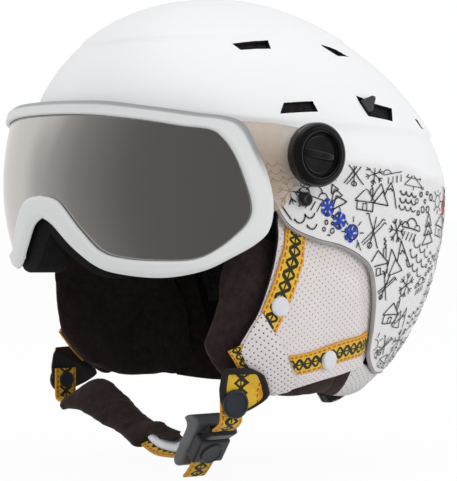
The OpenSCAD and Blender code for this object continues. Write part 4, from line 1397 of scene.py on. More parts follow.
    def _pads(self) -> None:
        """The crown, brow and nape pads: fleece cushions that rise from the foam."""
        f = self.form
        back = float(self.liner_in(np.array(1.0), np.array(0.0))) - 1.15
        height = float(f.point(0.0, 1.0, back)[2])
        t = mix(0.56, 0.985, bunched(30))[:, None]
        a = np.arange(96)[None] * 3.75 - 180
        off = back - 1 - (height - 1) * ease((t - 0.56) / 0.25)
        dimple = 0.5 * ripple(f.point(a + 0 * t, t + 0 * a, back), 26.0)
        inner = f.point(a, t, off + dimple * ease((t - 0.56) / 0.2) * ease((0.98 - t) / 0.1))
        shape = Surface.wall(f.point(a + 0 * t, t + 0 * a, back), inner, wrap=True, tips=True)
        Piece("crown_cushion", shape, FLEECE, Body.HELMET, ["crown_pad"], 70, 0.5, puff=1.0).make()
        for name, node, low, high, span in (
            ("brow_cushion", "brow_pad", 0.21, 0.45, (-58.0, 58.0)),
            ("nape_cushion", "nape_pad", -0.62, -0.14, (132.0, 228.0)),
        ):
            u, v = bunched(72)[None], bunched(30)[:, None]
            a, t = mix(span[0], span[1], u) + 0 * v, mix(low, high, v) + 0 * u
            turn = np.where(a > 180, 360 - a, a)
            base = self.liner_in(t, self.liner_edge(turn)) - 1.15
            swell = plump(u, v, 0.3) * (1 + 0.06 * np.cos(u * 6 * np.pi))
            face = f.point(a, t, base - 1.5 - 6.6 * swell)
            shape = Surface.wall(f.point(a, t, base), face)
            Piece(name, shape, FLEECE, Body.HELMET, [node], 70, 0.6, puff=1.0).make()


# Values of the ears that their forms repeat from the solids
COVER_BOTTOM = [
    (62, -0.5), (67, -0.6), (74.7, -0.677), (84, -0.64), (95, -0.605), (106, -0.58),
    (119, -0.545),
]  # fmt: skip
COVER_FRONT = [(62, -0.5), (61.2, -0.46), (64, -0.4), (67.5, -0.33), (71.3, -0.2), (73, -0.06)]
COVER_REAR = [
    (119, -0.545), (119, -0.5), (117, -0.4), (114.5, -0.3), (111, -0.2), (106, -0.155),
]  # fmt: skip
COVER_TOP = [(73, -0.06), (77, -0.08), (85, -0.107), (95, -0.128), (106, -0.155)]
PAD_BOTTOM = [(50, -0.53), (56, -0.61), (66, -0.665), (76, -0.705), (90, -0.715), (107, -0.7)]
PAD_FRONT = [(50, -0.53), (47.5, -0.46), (49.5, -0.4), (52.5, -0.31), (54, -0.22), (58.5, -0.135)]
PAD_REAR = [(107, -0.7), (112, -0.6), (112, -0.5), (110, -0.35), (104, -0.25), (98, -0.2)]
PAD_TOP = [(58.5, -0.135), (67, -0.118), (79, -0.15), (90, -0.18), (98, -0.2)]
PATCH_FORE = [(61.6, -0.475), (63.5, -0.425), (66, -0.375), (67.9, -0.345)]
PATCH_REAR = [(67.2, -0.6), (76, -0.665), (83, -0.625), (75.6, -0.455)]
REAR_RIM = [
    (-0.585, 128), (-0.51, 118), (-0.4, 114.5), (-0.3, 112), (-0.22, 108.5), (-0.18, 103),
]  # fmt: skip
FRONT_TAPE = [
    (69.3, -0.396), (71.6, -0.34), (74.2, -0.275), (76.3, -0.205), (78.1, -0.14), (78.9, -0.108),
]  # fmt: skip
REAR_TAPE = [(79.3, -0.535), (88, -0.52), (98, -0.492), (107, -0.474), (113.9, -0.461)]
LEAD_TAPE = [(59.8, -0.462), (61.9, -0.5), (64.2, -0.545), (67.4, -0.59)]
SNAPS = [(73.2, -0.325), (94.6, -0.515)]
NECK_TOP = [(102, -0.5), (112, -0.52), (122, -0.55), (140, -0.57), (163, -0.575)]
NECK_BOTTOM = [(102, -0.69), (112, -0.71), (122, -0.722), (140, -0.725), (163, -0.72)]


@dataclass
class Ears:
    """Padded ear covers with tapes and snaps, fleece ear pads and neck rolls on both sides."""

    form: ShellForm = field(default_factory=ShellForm)
    lean: float = 13.0
    lean_run: float = 90.0
    lean_way: tuple[float, float, float] = (0.83, -0.56, 0.0)
    tuck: float = 1.5
    rise: float = 4.6
    rise_run: float = 14.0
    bead: float = 4.0
    cover: float = 8.0
    pad: float = 14.0
    seat_gap: float = 0.3
    tape_w: float = 13.5
    front_w: float = 15.0
    rear_w: float = 16.5
    lead_w: float = 11.0
    lead_lift: float = -0.4
    tape_t: float = 1.2
    tape_lift: float = 0.8
    patch_lift: float = 0.65
    patch_t: float = 1.1
    snap_gap: float = 0.95
    roll_from: float = 111.5

    def build(self) -> None:
        """Makes all pieces of both ears."""
        for side in Side:
            self._cover(side)
            self._pad(side)
            self._patch(side)
            self._tapes(side)
            self._snaps(side)
            self._roll(side)

    def gap(self, a: Array, t: Array) -> Array:
        """Distance of a place from the shell's edge, in millimetres."""
        down = (np.interp(a, *np.array(RIM).T) - t) * self.form.mm_per_t
        back = (np.interp(t, *np.array(REAR_RIM).T) - a) * self.form.mm_per_deg
        return np.minimum(down, back)

    def face(self, a: Array, t: Array) -> Array:
        """Offset of the cover's outer face, which rises out from under the shell's edge."""
        up = self.rise * ease((self.gap(a, t) - self.bead) / self.rise_run)
        return up - self.form.wall - self.tuck

    def point(self, a: Array, t: Array, off: Any) -> Array:
        """Point of the flap, which leans out and forward from the shell's tuck on its way down.

        Args:
            a: angles round the shell.
            t: levels.
            off: millimetres outside the shell's outer face.

        Returns:
            The points.
        """
        way = unit(np.array(self.lean_way))
        share = self.lean * ease(self.gap(a, t) / self.lean_run)
        return self.form.point(a, t, off) + share[..., None] * way

    def place(self, a: float, t: float, off: float) -> Place:
        """The place there, with z outward, x rearward and level, and y upward."""

        def at(da: float, dt: float) -> Array:
            """Point a small step from the place."""
            return self.point(np.array(a + da), np.array(t + dt), off)

        n = unit(np.cross(at(0.5, 0) - at(-0.5, 0), at(0, 0.005) - at(0, -0.005)))
        x = unit(np.array([-n[1], n[0], 0.0]))
        return Place(at(0, 0), x, np.cross(n, x), n)

    @staticmethod
    def _coons(
        bottom: Sequence, top: Sequence, front: Sequence, rear: Sequence, u: Array, v: Array
    ) -> Array:
        """Places inside a patch that four curves bound: the two rulings' sum less the corners'.

        Args:
            bottom, top: the lower and upper curve, from front to rear.
            front, rear: the curves between them, upward.
            u: shares of the way rearward.
            v: shares of the way up.

        Returns:
            Angle and level, rows by columns.
        """
        b, t, f, r = (np.asarray(c, float) for c in (bottom, top, front, rear))
        rows, cols = v[:, None, None], u[None, :, None]
        along = mix(spline(b, u)[None], spline(t, u)[None], rows)
        across = mix(spline(f, v)[:, None], spline(r, v)[:, None], cols)
        return along + across - mix(mix(b[0], b[-1], cols), mix(t[0], t[-1], cols), rows)

    def _flat(self, p: Array) -> Array:
        """Flat pattern places in millimetres for places on the shell."""
        return p * np.array([self.form.mm_per_deg, self.form.mm_per_t])

    def _cover(self, side: Side) -> None:
        """The outer cover: a thin cushion with a row of soft puckers inside its seam."""
        u, v = bunched(96), bunched(80)
        p = self._coons(COVER_BOTTOM, COVER_TOP, COVER_FRONT, COVER_REAR, u, v)
        r = plump(u[None], v[:, None], 0.16)
        a, t = p[..., 0], p[..., 1]
        face = self.face(a, t) - 0.8 * (1 - r)
        base = self.point(a, t, face)
        seam = np.exp(-(((r - 0.72) / 0.12) ** 2))
        dent = 0.35 * seam * (0.7 + 0.3 * np.sin(base[..., 1] * 1.1 + base[..., 2] * 0.9))
        soft = 0.3 * ripple(base, 34.0) * r
        outer = self.point(a, t, face - dent + soft)
        inner = self.point(a, t, face - mix(2.5, self.cover - 0.6, r))
        shape = Surface.wall(outer, inner, flat=self._flat(p))
        Piece.sided(
            side, "ear_cover_leather", shape, LEATHER, "ear_cover", sharp=75, fill=0.5, lining=FLEECE
        )

    def _pad(self, side: Side) -> None:
        """The fleece pad inside the cover, full and soft, with a shallow dish over the ear."""
        u, v = bunched(96), bunched(96)
        p = self._coons(PAD_BOTTOM, PAD_TOP, PAD_FRONT, PAD_REAR, u, v)
        a, t = p[..., 0], p[..., 1]
        r = plump(u[None], v[:, None], 0.3)
        top = 2.6 * ease((v[:, None] - 0.7) / 0.2)
        back = self.rise - self.form.wall - self.tuck - self.cover - self.seat_gap - top
        middle = (u[None] - 0.52) ** 2 / 0.05 + (v[:, None] - 0.45) ** 2 / 0.08
        base = self.point(a, t, back)
        soft = (0.7 * ripple(base, 30.0) + 0.25 * ripple(base, 9.0, 11)) * r
        inner = back - mix(5.0, self.pad, r) + 3.5 * np.exp(-middle) + soft
        shape = Surface.wall(self.point(a, t, back - 0.8 * (1 - r)), self.point(a, t, inner))
        Piece.sided(
            side, "ear_pad_fleece", shape, FLEECE, "ear_pad", sharp=80, fill=0.8, puff=1.3
        )

    def _patch(self, side: Side) -> None:
        """The front patch with larger holes, sewn down round its edge."""
        u, v = bunched(40), bunched(48)
        fore, rear = spline(PATCH_FORE, v)[:, None], spline(PATCH_REAR, v)[:, None]
        p = mix(fore, rear, u[None, :, None])
        a, t = p[..., 0], p[..., 1]
        r = plump(u[None], v[:, None], 0.08)
        off = self.face(a, t) + self.patch_lift
        outer = self.point(a, t, off + mix(0.25, self.patch_t, r))
        shape = Surface.wall(outer, self.point(a, t, off - 0.5), flat=self._flat(p))
        Piece.sided(side, "ear_patch_leather", shape, PATCH_LEATHER, "ear_patch", sharp=75)

    def _tapes(self, side: Side) -> None:
        """The two printed tapes along their lines, each cut back on one edge at its start, and
        the short strip that runs from the tab in under the patch."""
        for name, line, cut, width, lift in (
            ("front", FRONT_TAPE, -0.17, self.front_w, self.tape_lift),
            ("rear", REAR_TAPE, 0.11, self.rear_w, self.tape_lift),
            ("lead", LEAD_TAPE, 0.0, self.lead_w, self.lead_lift),
        ):
            s = np.linspace(1, -1, 17)[:, None]
            u = np.linspace(0, 1, 64)[None]
            lead = cut * (s + (1 if cut > 0 else -1)) / 2
            k = mix(lead, 1, u)
            p = spline(line, k) + self.form.aside(line, k, 0.02) * s[..., None] * width / 2
            a, t = p[..., 0], p[..., 1]
            off = self.face(a, t) + lift
            length = run_length(self._flat(spline(line, np.linspace(0, 1, 40))))[-1]
            flat = np.stack([k * length + 9.0, s * self.tape_w / 2 + 0 * k], -1)
            swell = np.sqrt(np.maximum(0, 1 - np.abs(s) ** 10)) * 0.5 + 0.5
            outer = self.point(a, t, off + self.tape_t * swell)
            shape = Surface.wall(outer, self.point(a, t, off - 0.6), flat=flat)
            node = "" if line is LEAD_TAPE else f"{name}_tape"
            Piece.sided(side, f"{name}_tape_web", shape, TAPE, node, sharp=60)

    def _snaps(self, side: Side) -> None:
        """The two snap caps: low domes with a rolled edge."""
        profile = [(0, -1.6), (5.2, -1.6), (5.7, -0.6), (5.75, 0.5), (5.5, 1.1), (4.9, 1.55)]
        profile += [(4.2, 1.8), (3.4, 1.85), (2.0, 2.0), (0, 2.05)]
        caps = []
        for a, t in SNAPS:
            off = float(self.face(np.array(a), np.array(t))) + self.tape_lift + self.tape_t
            caps.append(Surface.turned(profile, self.place(a, t, off + self.snap_gap), 48))
        Piece.sided(side, "snap_caps", Surface.joined(caps), SNAP, "snaps", sharp=45)

    def _roll(self, side: Side) -> None:
        """The padded roll round the back of the neck: fleece inside and near the ear, and
        pale leather outside behind that."""
        u, v = bunched(90), bunched(48)
        low, high = spline(NECK_BOTTOM, u)[None], spline(NECK_TOP, u)[None]
        p = mix(low, high, v[:, None, None])
        a, t = p[..., 0], p[..., 1]
        r = plump(u[None], v[:, None], 0.35)
        soft = 0.4 * ripple(self.form.point(a, t), 22.0) * r
        outer = self.form.point(a, t, -6.6 + 4.6 * r + soft)
        inner = self.form.point(a, t, -7.2 - 4 * r)
        shape = Surface.wall(outer, inner, flat=self._flat(p))
        shape.marks["lined"] = np.tile((a < self.roll_from).ravel().astype(float), 2)
        Piece.sided(
            side, "neck_cushion", shape, ROLL, "neck_roll", sharp=80, fill=0.7, lining=FLEECE
        )


# Values of the visor that its form repeats from the solids
FRAME_OUT = [
    (0, -30), (15, -30.3), (30, -31.3), (46, -35), (58, -38.5), (67, -41), (71.5, -46),
    (75, -60), (78, -74), (79.7, -90), (78.7, -104), (75, -112), (68, -120), (60, -127.5),
    (49, -131.5), (36.5, -130.5), (25.5, -126.5), (14.5, -115), (6, -103), (0, -98.5),
]  # fmt: skip
FRAME_IN = [
    (0, -38), (14, -38.3), (28, -39.5), (43, -42.5), (54, -46), (61.5, -48), (65, -52.5),
    (68.3, -62), (71, -75), (73.2, -90), (72.5, -99), (69, -107), (63.2, -116), (57.3, -121),
    (48.5, -122), (37, -121), (28, -117), (20, -104.5), (10.5, -89), (0, -85.5),
]  # fmt: skip
FRAME_SECTION = [
    (0, 0.1), (0, 0.36), (0.03, 0.48), (0.2, 0.9), (0.26, 0.98), (0.33, 1.0), (0.76, 1.0),
    (0.84, 0.95), (0.9, 0.84), (0.96, 0.62), (0.99, 0.46), (1, 0.34), (1, 0.1),
]  # fmt: skip
ARM = [
    (80, -44.2, -94.5), (83.5, -45.2, -91), (87, -46.2, -80.5), (90, -46.8, -77.6),
    (93, -47.2, -76.8), (95.5, -48.8, -75.2), (97.8, -51.6, -72.4), (99.4, -55.5, -68.5),
    (100.2, -60.5, -63.5),
]  # fmt: skip


@dataclass
class Visor:
    """The mirrored lens with its clear arms, its frame and its foam gaskets."""

    half_w: float = 117.1
    front: float = 105.0
    rear: float = 220.0
    mid_y: float = -6.0
    power: float = 2.5
    level: float = -80.0
    bend: float = 118.0
    side_bend: float = 300.0
    wall: float = 2.0
    frame_t: float = 3.2
    edge: float = 0.25
    bore: float = 7.06

    def build(self) -> None:
        """Makes the visor's pieces."""
        self._lens()
        self._frame()
        self._gasket("brow_foam", "brow_gasket", 0.0, 9 / 38, (0.3, 1.1), (2.0, 2.0))
        self._gasket("nose_foam", "nose_gasket", 1.0, 11 / 38, (0.3, 0.9), (5.0, 20.0), 0.95)

    def point(self, a: Array, z: Array, off: Any = 0.0) -> Array:
        """Point of the lens's outer face at an angle and a height.

        The plan is a superellipse. It draws in with the square of the height's distance from
        the middle, at the front, and below the pivots, at the sides.

        Args:
            a: angles round the wearer.
            z: heights.
            off: millimetres outside the outer face.

        Returns:
            The points.
        """
        a, z = np.broadcast_arrays(np.asarray(a, float), np.asarray(z, float))
        c, s = np.cos(np.radians(a)), np.sin(np.radians(a))
        aside = self.half_w + off - np.maximum(0, self.level - z) ** 2 / (2 * self.side_bend)
        ahead = self.front + off - (z - self.level) ** 2 / (2 * self.bend)
        reach = np.where(c > 0, ahead, self.rear)
        r = superellipse(c, s, reach, aside, self.power)
        return np.stack([r * s, self.mid_y - r * c, z], -1)

    def edges(self, a: Array) -> tuple[Array, Array]:
        """Heights of the lens's lower and upper edge at an angle: under the frame to the
        arm's root, and then along the arm to its round end."""
        seat = mix(np.array(FRAME_OUT, float), np.array(FRAME_IN, float), self.edge)
        arm = spline(ARM, np.linspace(0, 1, 200))
        low = np.vstack([seat[:9:-1], arm[:, [0, 2]]])
        top = np.vstack([seat[:6], arm[:, [0, 1]]])
        a = np.abs(a)
        return np.interp(a, low[:, 0], low[:, 1]), np.interp(a, top[:, 0], top[:, 1])

    def _lens(self) -> None:
        """The lens and arms as one wall, bored for the pivots' posts."""
        half = np.concatenate([np.linspace(0, 80, 96, endpoint=False), np.linspace(80, 100.2, 48)])
        a = np.concatenate([-half[:0:-1], half])[None]
        low, top = self.edges(a)
        z = mix(low, top, np.linspace(0, 1, 33)[:, None])
        a = a + 0 * z
        shape = Surface.wall(self.point(a, z), self.point(a, z, -self.wall))
        middle = [(44.5, 64.25), (49.25, 68.25), (61, 71.65), (74.5, 74.5), (90, 76.45), (101.5, 75.6)]
        border = np.interp(-z, *np.array(middle).T)
        clear = ease((np.abs(a) - border) / 3 + 0.5)
        shape.marks["clear"] = np.concatenate([clear.ravel()] * 2)
        ends = ((105, 125), (-105, -125))
        bores = Surface.joined([Surface.rod(self.bore, PIVOT, pair) for pair in ends])
        Piece("mirror_lens", shape, LENS, Body.VISOR, ["visor_lens"], 50, cut=bores).make()

    def _way(self, u: Array, w: Array) -> Array:
        """Angle and height on the frame, u from 0 at the top to 1 at the nose and on to 2 back
        at the top, and w from its outer to its inner edge."""
        u = np.mod(u, 2)
        v = np.where(u <= 1, u, 2 - u)
        p = mix(spline(FRAME_OUT, v), spline(FRAME_IN, v), w[..., None])
        p[..., 0] = np.where(u <= 1, p[..., 0], -p[..., 0])
        return p

    def _frame(self) -> None:
        """The satin frame: a broad bevel outside, a flat face and a soft inner edge, with painted shade
        on the bevel's upper run.
        """
        section = np.array(FRAME_SECTION)
        u = 2 * np.arange(640)[:, None] / 640
        w = np.broadcast_to(section[None, :, 0], (640, len(section)))
        p = self._way(np.broadcast_to(u, w.shape), w)
        rings = self.point(p[..., 0], p[..., 1], section[None, :, 1] * self.frame_t)
        shape = Surface.tube(rings, True)
        # Painted shade: dark along the frame's top run, fading towards the nose, and strongest at the
        # bevel's outer edge
        upper = 1 - ease((np.minimum(u, 2 - u) - 0.36) / 0.08)
        shape.marks["bevel"] = (upper * ease((0.36 - w) / 0.2)).ravel()
        Piece("satin_frame", shape, FRAME, Body.VISOR, ["visor_frame"], 42).make()

    def _gasket(
        self,
        name: str,
        node: str,
        middle: float,
        reach: float,
        span: tuple[float, float],
        thick: tuple[float, float],
        hang: float = 0.0,
    ) -> None:
        """A strip of foam behind the lens over a run of the frame, with rounded edges.

        Its depth grows by a smooth step from the middle of the run to its ends, and between
        the ends it hangs out past the frame's edge by a share of the frame's width.

        Args:
            name: the piece's name.
            node: the node that it stands for.
            middle: where on the frame's round its middle lies.
            reach: how far it runs to each side of that.
            span: its edges, as shares of the frame's width.
            thick: its depth in the middle and at the ends.
            hang: how far it hangs out, as a share of the frame's width.
        """
        k, v = np.linspace(-1, 1, 91)[None], np.linspace(0, 1, 15)[:, None]
        edge = span[0] - hang * ease((1 - np.abs(k)) / 0.55)
        p = self._way(middle + reach * k + 0 * v, mix(span[1], edge, v))
        back = -self.wall - 0.6
        depth = mix(*thick, ease(np.abs(k) / 0.5))
        r = plump(0.5 + 0 * k, v, 0.2) * 0.25 + 0.75
        front = self.point(p[..., 0], p[..., 1], back)
        shape = Surface.wall(front, self.point(p[..., 0], p[..., 1], back - depth * r))
        Piece(name, shape, GASKET, Body.VISOR, [node], 60, 0.9).make()


@dataclass
class Pivots:
    """The visor's knobs with a finger bar, on both sides."""

    knob_x: float = 117.6
    bar_turn: float = -100.0

    def build(self) -> None:
        """Makes both knobs and both stop buttons."""
        for side, body in ((Side.LEFT, Body.KNOB_LEFT), (Side.RIGHT, Body.KNOB_RIGHT)):
            self._knob(side, body)
            self._stop(side)

    def _knob(self, side: Side, body: Body) -> None:
        """Knob with two grooves in its rim, a sunk disc and a rounded bar across the disc."""
        at = Place.outward(PIVOT + [self.knob_x, 0, 0])
        profile = [(0, 0), (17.7, 0), (18.3, 0.4), (18.5, 1.2), (18.5, 5.3), (18.35, 6.2)]
        profile += [(17.9, 7.1), (17.2, 7.8), (16.4, 8.2), (15.7, 8.3), (15.4, 8.1), (15.1, 8.3)]
        profile += [(14.3, 8.5), (13.6, 8.4), (13.1, 8.0), (12.8, 7.3), (12.6, 6.5), (12.2, 6.1)]
        profile += [(11.8, 6.15), (11.4, 6.5), (10.9, 6.6), (10.5, 6.4), (10.2, 6.2), (0, 6.2)]
        knob = Surface.turned(profile, at, 96)
        u, v = bunched(36)[None], bunched(18)[:, None]
        turn = math.radians(self.bar_turn)
        c, s = math.cos(turn), math.sin(turn)
        x, y = (u - 0.5) * 22.4, (v - 0.5) * 5.6 * (1 - 0.25 * np.abs(2 * u - 1) ** 3)
        r = plump(u, v, 0.35)
        faces = [
            at.out(np.stack([x * c - y * s, x * s + y * c, height], -1))
            for height in (6.0 + 2.2 * r, np.full(r.shape, 5.6))
        ]
        shape = Surface.joined([knob, Surface.wall(*faces)])
        Piece.sided(side, "gloss_knob", shape, GLOSS, "pivot_knob", body=body, sharp=32)

    def _stop(self, side: Side) -> None:
        """Rubber button under the arm: a low dome with a small dimple."""
        low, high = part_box(f"stop_button_{side.word}")
        x = (low[0] if side is Side.LEFT else -high[0]) / MM
        middle = [(low[k] + high[k]) / 2 / MM for k in (1, 2)]
        at = Place.outward((x, *middle))
        profile = [(0, -0.4), (4.2, -0.4), (4.2, 2.2), (3.95, 2.75), (3.5, 3.1), (3.0, 3.2)]
        profile += [(1.7, 3.1), (1.2, 2.8), (0.9, 2.6), (0, 2.55)]
        shape = Surface.turned(profile, at, 48)
        Piece.sided(side, "rubber_stop", shape, RUBBER, "stop_button", sharp=40)


@dataclass
class Fit:
    """The yoke of the fit system, a shaped band that narrows at its waist; its two slots on each side
    are not cut.
    """

    form: ShellForm = field(default_factory=ShellForm)
    back: float = -14.7
    thick: float = 2.5

    def build(self) -> None:
        """Makes the yoke."""
        u, v = bunched(80), bunched(60)
        a = mix(150, 210, u)[None] + 0 * v[:, None]
        t = mix(-0.745, -0.375, v)[:, None] + 0 * u[None]
        waist = 1 - 0.22 * np.sin(np.pi * v) ** 2
        a = 180 + (a - 180) * waist[:, None]
        r = plump(u[None], v[:, None], 0.05)
        outer = self.form.point(a, t, self.back + self.thick * mix(0.6, 1, r))
        shape = Surface.wall(outer, self.form.point(a, t, self.back))
        Piece("fit_yoke", shape, NYLON, Body.HELMET, ["nape_yoke"], 60).make()


# Values of the chin strap that its form repeats from the solids
ANCHOR = np.array([95.0, -40.5, -204.0])
TAB_ROWS = [
    (-6.5, -2, 4.5), (-3, -4.7, 14.5), (1, -8, 22.5), (4, -8.7, 24.5), (8.5, -9, 22.5),
    (12.5, -8.3, 20), (16.5, -7.5, 16.5), (20.5, -5, 8),
]  # fmt: skip
BUCKLE_AT = np.array([71.0, -40.5, -231.5])
BUCKLE_TILT = 37.0
CHIN_LEAN = (0.0, 0.89, 0.45)


def buckle_place(p: Sequence = (0.0, 0.0, 0.0)) -> Place:
    """The buckle's own place: x outward from its face, y rearward and z up along the strap."""
    c, s = math.cos(math.radians(BUCKLE_TILT)), math.sin(math.radians(BUCKLE_TILT))
    x, y, z = np.array([c, 0, -s]), np.array([0.0, 1.0, 0.0]), np.array([s, 0, c])
    return Place(BUCKLE_AT + p[0] * x + p[1] * y + p[2] * z, x, y, z)


STRAP_FROM = np.array([93.9, -40.5, -211.8])
CHIN = [
    STRAP_FROM * FLIP, (-92, -40.5, -215.2), (-82, -41, -214.5), (-69, -41, -211),
    (-53, -41, -213), (-33, -41, -219), (-8, -41, -227), (10, -41, -232.5), (26, -41, -237),
    buckle_place((-14.4, 0, -19)).at,
]  # fmt: skip
SIDE_RUN = [STRAP_FROM, (92.3, -40.5, -216), (84.5, -40.5, -220.5), buckle_place((0, 0, 9.4)).at]
TAIL_RUN = [buckle_place(p).at for p in ((0, 0, -8.8), (0, 0, -13), (-0.8, 0, -19), (-2, 0, -24))]


@dataclass
class Band:
    """A flat band along a path: its centre line, its way across and its size at each station."""

    path: Sequence
    across: Any = (0.0, 1.0, 0.0)

    @staticmethod
    def _section(n: int, power: float) -> Array:
        """Across and up of n points round a rounded rectangle: the cosine and sine, each to a
        power with its sign kept."""
        k = turns(n) + np.pi / n
        wave = np.stack([np.cos(k), np.sin(k)])
        return np.sign(wave) * np.abs(wave) ** power

    def rings(self, u: Array, w: Any, h: Any, n: int = 24, power: float = 0.25) -> Array:
        """Rings round the band at stations u of the path.

        Args:
            u: stations, from 0 to 1.
            w: half width at each station.
            h: half thickness at each station.
            n: points in a ring.
            power: 1 for an ellipse, towards 0 for a rectangle.

        Returns:
            Stations by points.
        """
        along = unit(spline(self.path, u + 0.02) - spline(self.path, u - 0.02))
        side = np.broadcast_to(np.asarray(self.across, float), along.shape)
        side = unit(side - along * (along * side).sum(-1, keepdims=True))
        up = np.cross(along, side)
        c, s = self._section(n, power)
        w = np.broadcast_to(np.asarray(w, float), u.shape)[:, None]
        h = np.broadcast_to(np.asarray(h, float), u.shape)[:, None]
        middle = spline(self.path, u)[:, None]
        return middle + side[:, None] * (w * c)[..., None] + up[:, None] * (h * s)[..., None]

    def flat(self, u: Array, w: float, n: int = 24, power: float = 0.25) -> Array:
        """Pattern places of such rings, along and across, in millimetres."""
        p = spline(self.path, u)
        c = self._section(n, power)[0] * w
        return np.stack(np.broadcast_arrays(run_length(p)[:, None], c[None]), -1)


def loaf(at: Place, outline: Sequence, half: float, round_: float, steps: int = 144) -> Surface:
    """A smooth outline in the place's x and z, carried along its y, with rounded edges.

    Args:
        at: the place and directions.
        outline: corners of a closed outline, which a spline rounds.
        half: half the length along y.
        round_: radius of the rounded edges.
        steps: points round the outline.

    Returns:
        The closed block.
    """
    p = np.asarray(outline, float)
    n = len(p)
    close = np.vstack([p, p[:1]])
    if n < 24:
        close = spline(np.vstack([p[-1:], p, p[:2]]), (np.linspace(0, n, 40 * n) + 1) / (n + 2))
    run = run_length(close)
    at_run = np.arange(steps) / steps * run[-1]
    ring = np.stack([np.interp(at_run, run, close[:, k]) for k in (0, 1)], -1)
    way = unit(np.roll(ring, -1, 0) - np.roll(ring, 1, 0))
    normal = np.stack([way[:, 1], -way[:, 0]], -1)
    if ((ring - ring.mean(0)) * normal).sum() < 0:
        normal = -normal
    w = np.linspace(0, np.pi / 2, 7)
    flat_run = np.linspace(-half + round_, half - round_, 9)[1:-1]
    y = np.concatenate([-half + round_ * (1 - np.sin(w)), flat_run, half - round_ * (1 - np.sin(w))])
    y = np.sort(y)
    depth = np.minimum(y + half, half - y)
    inset = round_ - np.sqrt(np.maximum(0, round_**2 - np.maximum(0, round_ - depth) ** 2))
    flat = ring[None] - normal[None] * inset[:, None, None]
    local = np.stack([flat[..., 0], np.broadcast_to(y[:, None], flat.shape[:2]), flat[..., 1]], -1)
    return Surface.tube(at.out(local))


def squared(w: float, h: float, corner: float, n: int = 8) -> list[tuple[float, float]]:
    """Corners of a rectangle of half sizes w and h with rounded corners, as close points."""
    found = []
    for q, (sx, sy) in enumerate(((1, 1), (-1, 1), (-1, -1), (1, -1))):
        for k in range(n):
            a = math.radians(90 * q + 90 * k / (n - 1))
            found.append(
                (sx * (w - corner) + corner * math.cos(a), sy * (h - corner) + corner * math.sin(a))
            )
    return found


